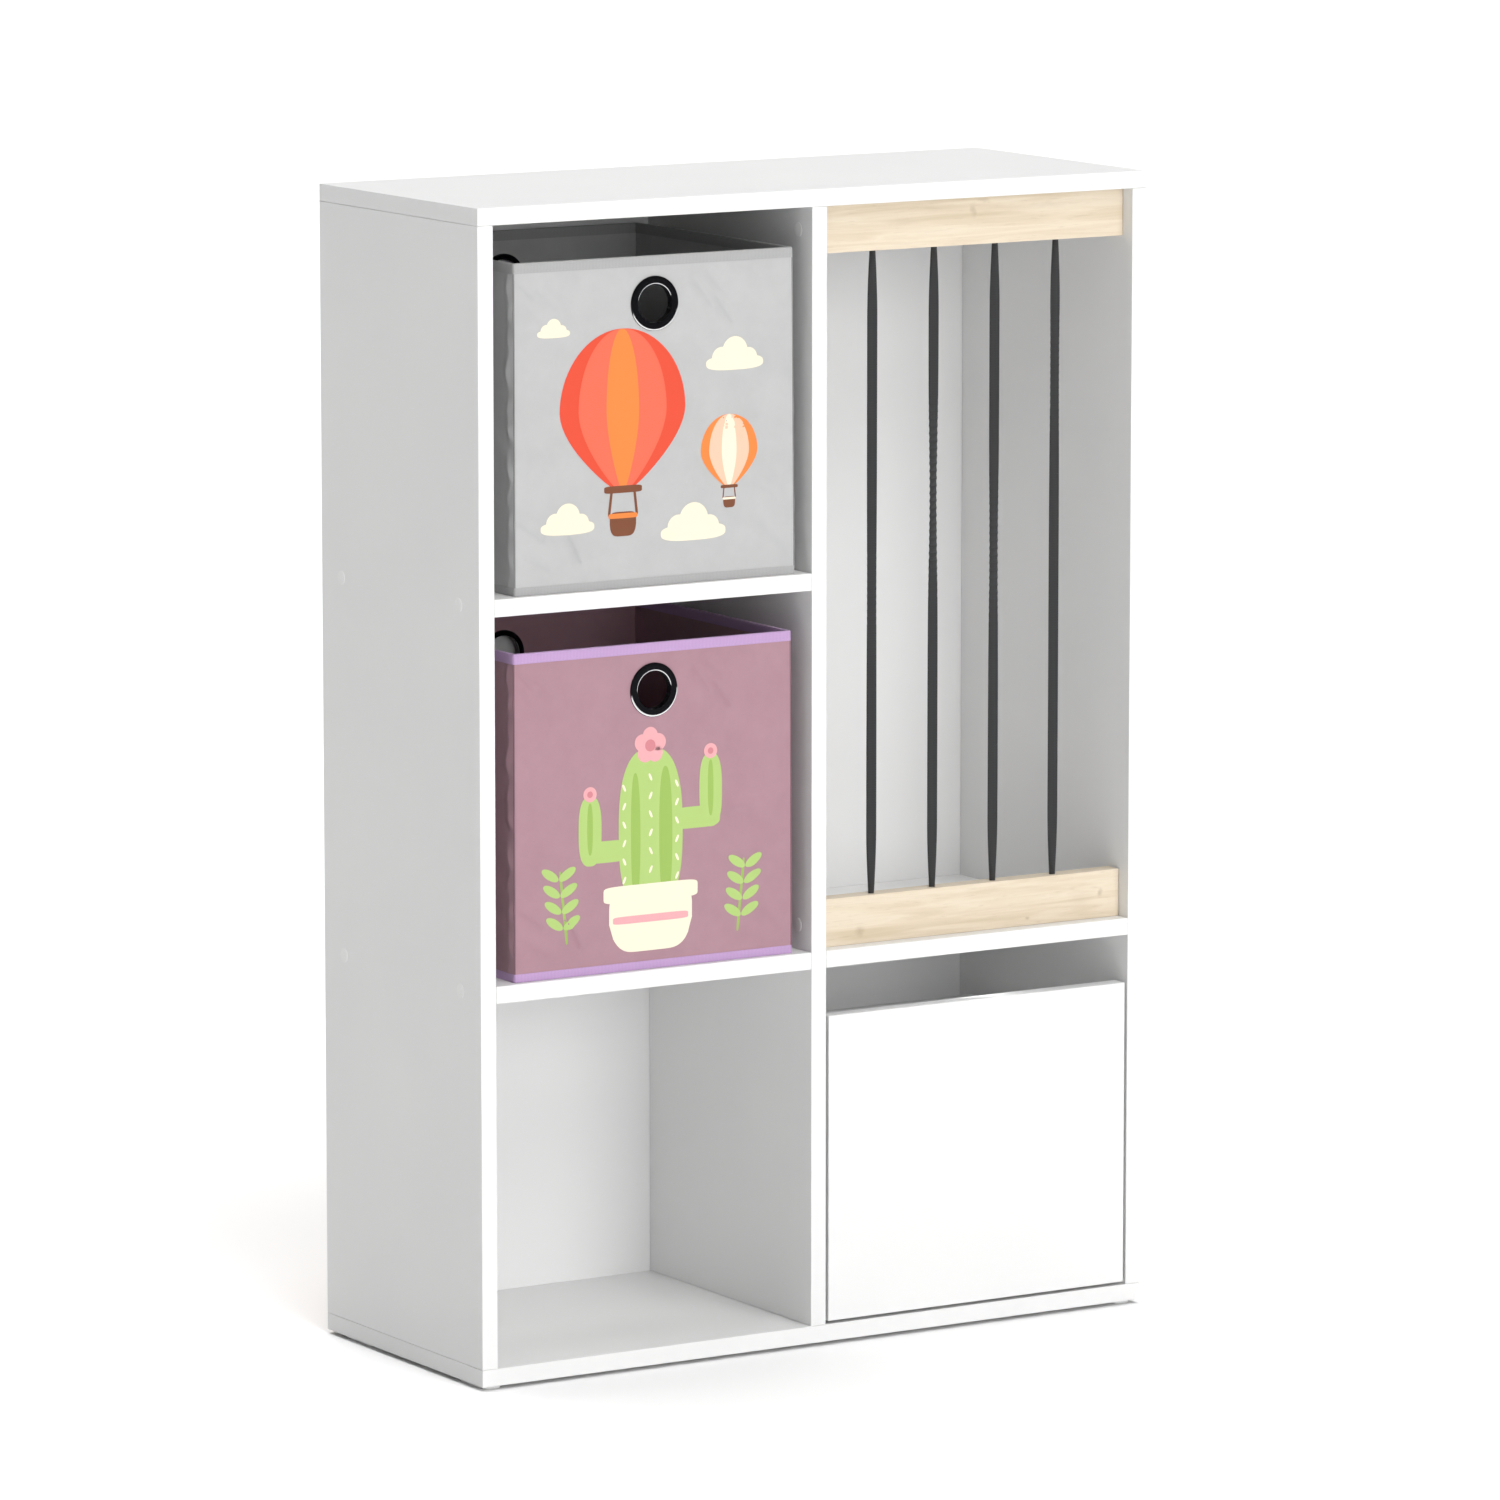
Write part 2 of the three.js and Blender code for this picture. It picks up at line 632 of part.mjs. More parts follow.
function hanger() {
  const ys = [0, hangerEnd];
  const trackBottom = frontRollerHeight + rollerRadius + rollerClearance;
  const trackTop = trackBottom + runnerSheet;
  const lipTop = hangerWallRise - seam;
  const root = hangerWeb + runnerSheet;
  const web = block([hangerWeb, root], ys, [lipTop - runnerSheet, trackTop]);
  const track = block([seam + 2 * runnerSheet, root], ys, [trackBottom, trackTop]);
  const lip = block([hangerWeb, runnerSpace + hangerLip], ys, [lipTop - runnerSheet, lipTop]);
  const headX = rollerSpan[0] - rollerClearance - rollerPinHeadHeight;
  const pin = rollerPin(rearRollerPlace, rearRollerHeight, root, headX);
  return shaped(web, { joined: [track, lip, ...pin] });
}

function roller() {
  const bore = rollerPinRadius + rollerClearance;
  const profile = [
    [bore, 0], [rollerRadius, 0], [rollerRadius, rollerWidth], [bore, rollerWidth], [bore, 0],
  ];
  return turned(profile, rollerFacets).rotateZ(-Math.PI / 2);
}

for (const [side, sign] of [['left', -1], ['right', 1]]) {
  const place = [sign * bayWidth / 2, runnerStart, runnerRise];
  const handed = (geometry) => (sign < 0 ? geometry : mirrored(geometry));
  const rollerX = place[0] - sign * rollerInset;
  const rollers = [
    { name: `cabinet_roller_${side}`, y: frontRollerSetback, z: frontRollerHeight },
    { name: `drawer_roller_${side}`, y: rearRollerPlace, z: rearRollerHeight },
  ];
  addPiece(drawerBay, `cabinet_runner_${side}`, handed(channel()), materials.runner, place);
  addPiece(drawerBay, `drawer_runner_${side}`, handed(hanger()), materials.runner, place);
  for (const { name, y, z } of rollers) {
    const rollerPlace = [rollerX, runnerStart + y, runnerRise + z];
    addPiece(drawerBay, name, handed(roller()), materials.nylon, rollerPlace);
  }
}

// Fabric boxes: X from the box's middle, Y from its middle and Z from its underside
const boxWidth = cellWidth - 2 * boxSideGap;
const boxDepth = carcassDepth - boxFrontRecess - boxRearGap;
const boxHeight = cellHeight - boxHeadroom - boxRestGap;
const halfWidth = boxWidth / 2;
const halfDepth = boxDepth / 2;
const pocketDepth = boxWall - 2 * fabricThickness;
const pocketTop = boxHeight - hemHeight;
const grommetHeight = boxHeight - grommetDrop;
const eyeletRadius = grommetHoleRadius + grommetBarrel + eyeletClearance;
const eyeletStart = [0, -halfDepth - overcut, grommetHeight];

// One wall's pocket for its board, or shrunk by a clearance the board itself. The wall faces
// -Y and is turned about Z to its place.
function wallPocket(reach, wallLength, clearance = 0) {
  const half = wallLength / 2 - boxWall - cornerSeamWidth - clearance;
  const outer = -reach + fabricThickness + clearance;
  const inner = outer + pocketDepth - 2 * clearance;
  return block([-half, half], [outer, inner], [fabricThickness + clearance, pocketTop - clearance]);
}

// The pocket's mouth, which opens into the box behind the edge of the base board.
function pocketMouthCut(reach, wallLength) {
  const half = wallLength / 2 - boxWall - cornerSeamWidth;
  const ys = [-reach + fabricThickness, -reach + boxWall + overcut];
  return block([-half, half], ys, [fabricThickness, fabricThickness + pocketMouth]);
}

const boxWalls = [
  { side: 'front', turn: 0, reach: halfDepth, length: boxWidth },
  { side: 'right', turn: Math.PI / 2, reach: halfWidth, length: boxDepth },
  { side: 'rear', turn: Math.PI, reach: halfDepth, length: boxWidth },
  { side: 'left', turn: -Math.PI / 2, reach: halfWidth, length: boxDepth },
];
const eyelets = rod('y', eyeletStart, boxDepth + 2 * overcut, eyeletRadius, eyeletFacets);

function boxFabric() {
  const body = block([-halfWidth, halfWidth], [-halfDepth, halfDepth], [0, boxHeight]);
  const x = halfWidth - boxWall;
  const y = halfDepth - boxWall;
  const hollow = block([-x, x], [-y, y], [fabricThickness, boxHeight + overcut]);
  const pockets = boxWalls.flatMap(({ turn, reach, length }) => [
    wallPocket(reach, length).rotateZ(turn),
    pocketMouthCut(reach, length).rotateZ(turn),
  ]);
  return shaped(body, { cut: [hollow, ...pockets, eyelets] });
}

// A grommet turned about Y: face outside the wall, barrel through it and washer inside it.
function grommet() {
  const face = -grommetClearance;
  const inside = boxWall + grommetClearance;
  const hole = grommetHoleRadius;
  const barrel = grommetHoleRadius + grommetBarrel;
  const crest = (grommetRadius + grommetHoleRadius) / 2;
  const profile = [
    [hole, face - grommetLip], [crest, face - grommetFaceHeight],
    [grommetRadius - grommetShoulderInset, face - grommetShoulder], [grommetRadius, face],
    [barrel, face], [barrel, inside], [grommetBackRadius, inside],
    [grommetBackRadius, inside + grommetBackHeight], [hole, inside + grommetBackHeight],
    [hole, face - grommetLip],
  ];
  return turned(profile, grommetFacets);
}

function addFabricBox(colour, shelfTop, fabric) {
  const box = new THREE.Group();
  const middle = (cellSpan[0] + cellSpan[1]) / 2 + boxShifts[colour];
  box.position.set(middle, front + boxFrontRecess + halfDepth, shelfTop + boxRestGap);
  unit.add(box);
  addPiece(box, `${colour}_box_fabric`, boxFabric(), fabric);
  for (const { side, turn, reach, length } of boxWalls) {
    const board = wallPocket(reach, length, pocketClearance);
    const bored = shaped(board, { cut: [eyelets.clone().rotateZ(-turn)] });
    const name = `${colour}_box_${side}_stiffener`;
    addPiece(box, name, bored, materials.cardboard, [0, 0, 0], turn);
  }
  const x = halfWidth - boxWall - baseBoardSideGap;
  const y = halfDepth - boxWall - baseBoardEndGap;
  const base = fabricThickness + pocketClearance;
  const baseBoard = block([-x, x], [-y, y], [base, base + baseBoardThickness]);
  addPiece(box, `${colour}_box_base_board`, baseBoard, fabric);
  const places = { front: [0, -halfDepth, grommetHeight], rear: [0, halfDepth, grommetHeight] };
  for (const [side, place] of Object.entries(places)) {
    const name = `${colour}_box_${side}_grommet`;
    addPiece(box, name, grommet(), materials.grommet, place, side === 'front' ? 0 : Math.PI);
  }
}

addFabricBox('grey', upperShelf + boardThickness, materials.greyFabric);
addFabricBox('mauve', lowerShelf + boardThickness, materials.mauveFabric);

export default unit;
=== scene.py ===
"""The looks of a children's shelf unit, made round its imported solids.

White melamine-faced boards form a column of three cells, a tall toy bay closed by two maple rails
and four elastic bands, and a drawer bay. Two of the cells hold a fabric box each. Lengths are in
metres, written as millimetres times MM. +X is to the right seen from the front, +Y to the back.
"""

import logging
import math
from collections.abc import Sequence
from dataclasses import dataclass
from enum import Enum
from functools import cache

import bmesh
import bpy
from mathutils import Matrix, Vector


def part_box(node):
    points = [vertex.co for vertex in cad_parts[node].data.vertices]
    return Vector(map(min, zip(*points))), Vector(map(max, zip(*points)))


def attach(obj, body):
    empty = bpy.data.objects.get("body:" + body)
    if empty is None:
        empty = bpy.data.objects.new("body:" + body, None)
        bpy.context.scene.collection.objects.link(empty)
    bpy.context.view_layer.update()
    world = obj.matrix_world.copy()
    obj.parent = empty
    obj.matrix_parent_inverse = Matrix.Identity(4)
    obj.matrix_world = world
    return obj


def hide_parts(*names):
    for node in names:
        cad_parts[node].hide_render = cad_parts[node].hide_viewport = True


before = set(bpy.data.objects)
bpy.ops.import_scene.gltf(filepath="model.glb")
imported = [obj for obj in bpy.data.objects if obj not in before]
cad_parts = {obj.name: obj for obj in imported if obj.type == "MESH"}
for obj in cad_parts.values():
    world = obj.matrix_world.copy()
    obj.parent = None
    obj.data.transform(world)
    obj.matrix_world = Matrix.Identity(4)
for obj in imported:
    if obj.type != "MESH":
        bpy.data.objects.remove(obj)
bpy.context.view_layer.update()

MM = 0.001
FULL_TURN = 2 * math.pi
MERGE_DISTANCE = 0.01 * MM
FLAT_ANGLE = math.radians(1)
SHARP_ANGLE = math.radians(35)
ARRIS_ANGLE = math.radians(60)

# Sockets of the Mix node when it mixes colours, whose names are shared with its other types
MIX_FACTOR, MIX_A, MIX_B, MIX_RESULT = 0, 6, 7, 2

logging.basicConfig(level=logging.INFO, format="%(message)s")
log = logging.getLogger("shelf_unit")


class Axis(Enum):
    """The direction that a turned piece's axis points in."""

    LEFT = (-1, 0, 0)
    RIGHT = (1, 0, 0)
    FRONT = (0, -1, 0)
    REAR = (0, 1, 0)


class Side(Enum):
    """A wall of a fabric box, by the direction that it faces."""

    FRONT = (0, -1)
    RIGHT = (1, 0)
    REAR = (0, 1)
    LEFT = (-1, 0)


def linear(code: str) -> tuple[float, float, float, float]:
    """Turns an sRGB hex colour into linear values.

    Args:
        code: Six hex digits after a hash sign.

    Returns:
        Red, green, blue and an alpha of one.
    """
    shares = [int(code[i:i + 2], 16) / 255 for i in (1, 3, 5)]
    curve = [s / 12.92 if s <= 0.04045 else ((s + 0.055) / 1.055) ** 2.4 for s in shares]
    return (*curve, 1.0)


def smooth_step(low: float, high: float, value: float) -> float:
    """Rises smoothly from 0 at low to 1 at high.

    Args:
        low: Where the rise starts.
        high: Where it ends. It may lie below low, which gives a fall.
        value: The place that is asked for.

    Returns:
        A share from 0 to 1.
    """
    share = min(max((value - low) / (high - low), 0), 1)
    return share * share * (3 - 2 * share)


def add_node(
    tree: bpy.types.NodeTree,
    kind: str,
    settings: dict[str | int, object] | None = None,
    links: dict[str | int, bpy.types.NodeSocket] | None = None,
) -> bpy.types.Node:
    """Adds a shader node with its settings and its incoming links.

    Args:
        tree: The node tree that gets the node.
        kind: The node's type name without its ShaderNode start.
        settings: Values by socket name, socket number or property name. The name stops stands
            for a colour ramp's list of places and hex colours.
        links: The sockets that feed the inputs, by input name or number.

    Returns:
        The new node.
    """
    node = tree.nodes.new(f"ShaderNode{kind}")
    for key, value in (settings or {}).items():
        if key == "stops":
            ramp = node.color_ramp.elements
            while len(ramp) < len(value):
                ramp.new(1)
            for stop, (place, code) in zip(ramp, value):
                stop.position = place
                stop.color = linear(code)
        elif isinstance(key, int) or key in node.inputs:
            node.inputs[key].default_value = value
        else:
            setattr(node, key, value)
    for key, socket in (links or {}).items():
        tree.links.new(socket, node.inputs[key])
    return node


def new_material(name: str, **sockets: object) -> tuple[bpy.types.Material, bpy.types.Node]:
    """Makes an empty principled material.

    Args:
        name: The material's name.
        **sockets: Constants for the shader's sockets, with underscores for spaces.

    Returns:
        The material and its principled shader node.
    """
    material = bpy.data.materials.new(name)
    material.use_nodes = True
    shader = material.node_tree.nodes["Principled BSDF"]
    for key, value in sockets.items():
        shader.inputs[key.replace("_", " ")].default_value = value
    return material, shader


def place_pattern(
    tree: bpy.types.NodeTree, size: float | Sequence[float]
) -> bpy.types.NodeSocket:
    """Gives object coordinates counted in repeats of a pattern.

    Args:
        tree: The node tree that reads the pattern.
        size: Length of one repeat in metres, or its lengths along X, Y and Z.

    Returns:
        The mapped coordinates.
    """
    coordinates = add_node(tree, "TexCoord")
    lengths = [size] * 3 if isinstance(size, float) else size
    scale = [1 / length for length in lengths]
    mapping = add_node(tree, "Mapping", {"Scale": scale}, {"Vector": coordinates.outputs["Object"]})
    return mapping.outputs["Vector"]


def share_behind(tree: bpy.types.NodeTree, depth: float) -> bpy.types.NodeSocket:
    """Tells a board's facing from what lies behind it.

    Args:
        tree: The node tree that reads it.
        depth: The place along Y where the facing ends.

    Returns:
        1 behind that place, and 0 in front of it.
    """
    place = add_node(tree, "SeparateXYZ", {}, {"Vector": place_pattern(tree, 1.0)})
    behind = add_node(
        tree, "Math", {"operation": "GREATER_THAN", 1: depth}, {0: place.outputs["Y"]},
    )
    return behind.outputs["Value"]


def add_bump(
    tree: bpy.types.NodeTree,
    shader: bpy.types.Node,
    height: bpy.types.NodeSocket,
    depth: float,
    strength: float = 1.0,
) -> None:
    """Lets a height pattern bend a shader's normal.

    Args:
        tree: The material's node tree.
        shader: The principled shader.
        height: The pattern, from 0 to 1.
        depth: How high the pattern stands, in metres.
        strength: How much of it is used.
    """
    bump = add_node(tree, "Bump", {"Strength": strength, "Distance": depth}, {"Height": height})
    tree.links.new(bump.outputs["Normal"], shader.inputs["Normal"])


@dataclass(frozen=True)
class Melamine:
    """White melamine-faced chipboard: printed paper pressed on under a finely pearled plate.

    It gives the eye an even, slightly warm white with a soft sheen. The rear edges, which the
    factory leaves unbanded, show the raw chips.
    """

    face: str = "#E8E8E7"
    face_shade: str = "#E2E2E2"
    cloud: float = 160 * MM
    pearl: float = 2.2 * MM  # drawn coarser than the real 0.6 mm, so that it shows
    pearl_depth: float = 0.03 * MM
    raw_from: float | None = None
    chip: float = 3.5 * MM

    @cache
    def material(self) -> bpy.types.Material:
        """Returns the finish as a material."""
        name = "white_melamine_pressed" if self.raw_from is None else "white_melamine_raw_rear"
        material, shader = new_material(name, Roughness=0.42, IOR=1.5)
        tree = material.node_tree
        cloud = add_node(
            tree, "TexNoise", {"Scale": 1, "Detail": 2},
            {"Vector": place_pattern(tree, self.cloud)},
        )
        tone = add_node(
            tree, "Mix",
            {"data_type": "RGBA", MIX_A: linear(self.face), MIX_B: linear(self.face_shade)},
            {MIX_FACTOR: cloud.outputs["Fac"]},
        )
        colour = tone.outputs[MIX_RESULT]
        if self.raw_from is not None:
            colour = self.add_raw_edge(tree, colour)
        tree.links.new(colour, shader.inputs["Base Color"])
        pearls = add_node(
            tree, "TexNoise", {"Scale": 1, "Detail": 1},
            {"Vector": place_pattern(tree, self.pearl)},
        )
        add_bump(tree, shader, pearls.outputs["Fac"], self.pearl_depth, 0.35)
        return material

    def add_raw_edge(
        self, tree: bpy.types.NodeTree, face: bpy.types.NodeSocket
    ) -> bpy.types.NodeSocket:
        """Shows raw chips behind the depth at which the facing ends.

        Args:
            tree: The material's node tree.
            face: The colour of the facing.

        Returns:
            The colour of facing and raw edge together.
        """
        chips = add_node(
            tree, "TexVoronoi", {"Scale": 1}, {"Vector": place_pattern(tree, self.chip)},
        )
        wood = add_node(
            tree, "ValToRGB", {"stops": [(0.1, "#8E7250"), (0.5, "#B4966D"), (0.9, "#CDB48C")]},
            {"Fac": chips.outputs["Color"]},
        )
        raw = share_behind(tree, self.raw_from)
        both = add_node(
            tree, "Mix", {"data_type": "RGBA"},
            {MIX_FACTOR: raw, MIX_A: face, MIX_B: wood.outputs["Color"]},
        )
        return both.outputs[MIX_RESULT]


@dataclass(frozen=True)
class Hardboard:
    """Thin hardboard, wet-pressed and lacquered white on one side.

    Seen from inside it is a flat white. Its outer side and its edges are a mottled brown felt of
    wood fibres.
    """

    lacquer: str = "#E6E6E6"
    raw_from: float = 0.0
    mottle: float = 7 * MM
    fibre: float = 1.6 * MM  # drawn thicker than the real fibres, so that they show

    @cache
    def material(self) -> bpy.types.Material:
        """Returns the finish as a material."""
        material, shader = new_material("hardboard_white_lacquered", Roughness=0.55, IOR=1.48)
        tree = material.node_tree
        mottle = add_node(
            tree, "TexNoise", {"Scale": 1, "Detail": 4},
            {"Vector": place_pattern(tree, self.mottle)},
        )
        brown = add_node(
            tree, "ValToRGB", {"stops": [(0.25, "#93724A"), (0.5, "#9E7C53"), (0.8, "#A8875D")]},
            {"Fac": mottle.outputs["Fac"]},
        )
        colour = add_node(
            tree, "Mix", {"data_type": "RGBA", MIX_A: linear(self.lacquer)},
            {MIX_FACTOR: share_behind(tree, self.raw_from), MIX_B: brown.outputs["Color"]},
        )
        tree.links.new(colour.outputs[MIX_RESULT], shader.inputs["Base Color"])
        fibres = add_node(
            tree, "TexNoise", {"Scale": 1, "Detail": 3},
            {"Vector": place_pattern(tree, [self.fibre, self.fibre, 6 * self.fibre])},
        )
        add_bump(tree, shader, fibres.outputs["Fac"], 0.05 * MM, 0.4)
        return material


@dataclass(frozen=True)
class Knot:
    """A knot or a dark fleck in a rail: its centre, and its half-lengths along X and Z."""

    x: float
    z: float
    width: float
    height: float
    strength: float


@dataclass(frozen=True)
class Maple:
    """Pale maple, planed along its grain and oiled without gloss.

    It gives the eye a creamy wood with faint wavy figure, a few short brown streaks and knots.
    """

    pale: str = "#DBCEBA"
    wood: str = "#D4C5AE"
    figure: str = "#CABA9F"
    streak: str = "#8F775C"
    grain_length: float = 150 * MM
    grain_width: float = 9 * MM
    pore_length: float = 16 * MM
    pore_width: float = 1.1 * MM  # drawn wider than the real 0.1 mm, so that they show
    knots: tuple[Knot, ...] = ()

    @cache
    def material(self) -> bpy.types.Material:
        """Returns the finish as a material."""
        material, shader = new_material("pale_maple_planed", Roughness=0.5, IOR=1.46)
        tree = material.node_tree
        sizes = [self.grain_length, self.grain_width, self.grain_width]
        grain = add_node(
            tree, "TexNoise", {"Scale": 1, "Detail": 5, "Roughness": 0.55, "Distortion": 0.7},
            {"Vector": place_pattern(tree, sizes)},
        )
        wood = add_node(
            tree, "ValToRGB",
            {"stops": [(0.3, self.figure), (0.46, self.wood), (0.6, self.pale), (0.75, self.wood)]},
            {"Fac": grain.outputs["Fac"]},
        )
        sizes = [self.pore_length, self.pore_width, self.pore_width]
        pores = add_node(
            tree, "TexNoise", {"Scale": 1, "Detail": 2}, {"Vector": place_pattern(tree, sizes)},
        )
        dark = add_node(
            tree, "MapRange", {"From Min": 0.6, "From Max": 0.8, "To Max": 0.22},
            {"Value": pores.outputs["Fac"]},
        )
        fleck = dark.outputs["Result"]
        for knot in self.knots:
            fleck = self.add_knot(tree, knot, fleck)
        colour = add_node(
            tree, "Mix", {"data_type": "RGBA", MIX_B: linear(self.streak)},
            {MIX_FACTOR: fleck, MIX_A: wood.outputs["Color"]},
        )
        tree.links.new(colour.outputs[MIX_RESULT], shader.inputs["Base Color"])
        add_bump(tree, shader, pores.outputs["Fac"], 0.06 * MM, 0.35)
        return material

    @staticmethod
    def add_knot(
        tree: bpy.types.NodeTree, knot: Knot, below: bpy.types.NodeSocket
    ) -> bpy.types.NodeSocket:
        """Darkens the wood round one knot.

        Args:
            tree: The material's node tree.
            knot: The knot.
            below: The darkness without it.

        Returns:
            The darkness with it.
        """
        pitch, sway = 9 * MM, 7 * MM
        coordinates = add_node(tree, "TexCoord")
        wobble = add_node(
            tree, "TexNoise", {"Scale": 1, "Detail": 2}, {"Vector": place_pattern(tree, pitch)},
        )
        shaken = add_node(
            tree, "VectorMath", {"operation": "MULTIPLY_ADD", 1: [sway] * 3},
            {0: wobble.outputs["Color"], 2: coordinates.outputs["Object"]},
        )
        scale = [1 / knot.width, 0, 1 / knot.height]
        offset = sway / 2  # what the wobble adds by itself
        place = [-(knot.x + offset) / knot.width, 0, -(knot.z + offset) / knot.height]
        near = add_node(
            tree, "VectorMath", {"operation": "MULTIPLY_ADD", 1: scale, 2: place},
            {0: shaken.outputs["Vector"]},
        )
        distance = add_node(
            tree, "VectorMath", {"operation": "LENGTH"}, {0: near.outputs["Vector"]},
        )
        spot = add_node(
            tree, "MapRange",
            {"interpolation_type": "SMOOTHSTEP", "From Min": 1, "From Max": 0,
             "To Max": knot.strength},
            {"Value": distance.outputs["Value"]},
        )
        total = add_node(
            tree, "Math", {"operation": "MAXIMUM"}, {0: spot.outputs["Result"], 1: below},
        )
        return total.outputs["Value"]


@dataclass(frozen=True)
class ElasticWebbing:
    """Black elastic band, woven flat over rubber threads.

    It gives the eye a dull, nearly black strip with fine ribs along its length.
    """

    colour: str = "#2B2B2C"
    highlight: str = "#3A3A3B"
    rib: float = 1.35 * MM  # drawn wider than the real 0.7 mm, so that the ribs show
    pick: float = 2.4 * MM

    @cache
    def material(self) -> bpy.types.Material:
        """Returns the finish as a material."""
        material, shader = new_material(
            "black_elastic_woven", Roughness=0.78, IOR=1.45, Sheen_Weight=0.15, Sheen_Roughness=0.5,
        )
        tree = material.node_tree
        across = add_node(tree, "Attribute", {"attribute_name": "across"})
        ribs = add_node(
            tree, "Math", {"operation": "MULTIPLY", 1: FULL_TURN / self.rib},
            {0: across.outputs["Fac"]},
        )
        rib_wave = add_node(tree, "Math", {"operation": "COSINE"}, {0: ribs.outputs["Value"]})
        height = add_node(
            tree, "SeparateXYZ", {}, {"Vector": place_pattern(tree, [1, 1, self.pick])},
        )
        picks = add_node(
            tree, "Math", {"operation": "MULTIPLY", 1: FULL_TURN}, {0: height.outputs["Z"]},
        )
        pick_wave = add_node(tree, "Math", {"operation": "COSINE"}, {0: picks.outputs["Value"]})
        weave = add_node(
            tree, "Math", {"operation": "MULTIPLY_ADD", 1: 0.25},
            {0: pick_wave.outputs["Value"], 2: rib_wave.outputs["Value"]},
        )
        crown = add_node(
            tree, "MapRange", {"From Min": -1.25, "From Max": 1.25},
            {"Value": weave.outputs["Value"]},
        )
        colour = add_node(
            tree, "Mix",
            {"data_type": "RGBA", MIX_A: linear(self.colour), MIX_B: linear(self.highlight)},
            {MIX_FACTOR: crown.outputs["Result"]},
        )
        tree.links.new(colour.outputs[MIX_RESULT], shader.inputs["Base Color"])
        add_bump(tree, shader, crown.outputs["Result"], 0.12 * MM, 0.6)
        return material


@dataclass(frozen=True)
class NonWoven:
    """Non-woven polypropylene cloth, spun and embossed with a fine grid of dots.

    It gives the eye a matt, slightly mottled cloth without threads. Printed on, it keeps the
    dots, and the ink closes the mottling.
    """

    name: str
    colour: str
    shade: str
    dot: float = 2.4 * MM  # drawn coarser than the real 1 mm, so that the dots show
    mottle: float = 26 * MM
    roughness: float = 0.85
    sheen: float = 0.12
    crease_shade: str | None = None  # painted shade in the hollows beside the creases, where it has any

    @cache
    def material(self) -> bpy.types.Material:
        """Returns the finish as a material."""
        material, shader = new_material(
            self.name, Roughness=self.roughness, IOR=1.45, Sheen_Weight=self.sheen,
            Sheen_Roughness=0.6,
        )
        tree = material.node_tree
        cloud = add_node(
            tree, "TexNoise", {"Scale": 1, "Detail": 6, "Roughness": 0.65},
            {"Vector": place_pattern(tree, self.mottle)},
        )
        share = add_node(
            tree, "MapRange", {"From Min": 0.3, "From Max": 0.7}, {"Value": cloud.outputs["Fac"]},
        )
        colour = add_node(
            tree, "Mix",
            {"data_type": "RGBA", MIX_A: linear(self.colour), MIX_B: linear(self.shade)},
            {MIX_FACTOR: share.outputs["Result"]},
        )
        # Beside the creases the cloth is darkened by the fold attribute: painted shade, not a
        # colour of the cloth
        if self.crease_shade is not None:
            crease_shade_mask = add_node(tree, "Attribute", {"attribute_name": "fold"})
            colour = add_node(
                tree, "Mix", {"data_type": "RGBA", MIX_B: linear(self.crease_shade)},
                {MIX_FACTOR: crease_shade_mask.outputs["Fac"], MIX_A: colour.outputs[MIX_RESULT]},
            )
        tree.links.new(colour.outputs[MIX_RESULT], shader.inputs["Base Color"])
        dots = add_node(
            tree, "TexVoronoi", {"Scale": 1, "Randomness": 0.15},
            {"Vector": place_pattern(tree, self.dot)},
        )
        add_bump(tree, shader, dots.outputs["Distance"], 0.08 * MM, 0.35)
        return material


@dataclass(frozen=True)
class BindingTape:
    """Woven binding tape, folded over an edge and sewn down.

    It gives the eye a slightly glossier strip with fine ribs across its length.
    """

    name: str
    colour: str
    shade: str
    rib: float = 1.5 * MM  # drawn wider than the real 0.8 mm, so that the ribs show

    @cache
    def material(self) -> bpy.types.Material:
        """Returns the finish as a material."""
        material, shader = new_material(
            self.name, Roughness=0.68, IOR=1.47, Sheen_Weight=0.2, Sheen_Roughness=0.4,
        )
        tree = material.node_tree
        place = add_node(
            tree, "SeparateXYZ", {}, {"Vector": place_pattern(tree, self.rib)},
        )
        along = add_node(
            tree, "Math", {"operation": "ADD"}, {0: place.outputs["X"], 1: place.outputs["Y"]},
        )
        turns = add_node(
            tree, "Math", {"operation": "MULTIPLY", 1: FULL_TURN}, {0: along.outputs["Value"]},
        )
        ribs = add_node(tree, "Math", {"operation": "COSINE"}, {0: turns.outputs["Value"]})
        crown = add_node(
            tree, "MapRange", {"From Min": -1, "From Max": 1}, {"Value": ribs.outputs["Value"]},
        )
        colour = add_node(
            tree, "Mix",
            {"data_type": "RGBA", MIX_A: linear(self.shade), MIX_B: linear(self.colour)},
            {MIX_FACTOR: crown.outputs["Result"]},
        )
        tree.links.new(colour.outputs[MIX_RESULT], shader.inputs["Base Color"])
        add_bump(tree, shader, crown.outputs["Result"], 0.08 * MM, 0.5)
        return material


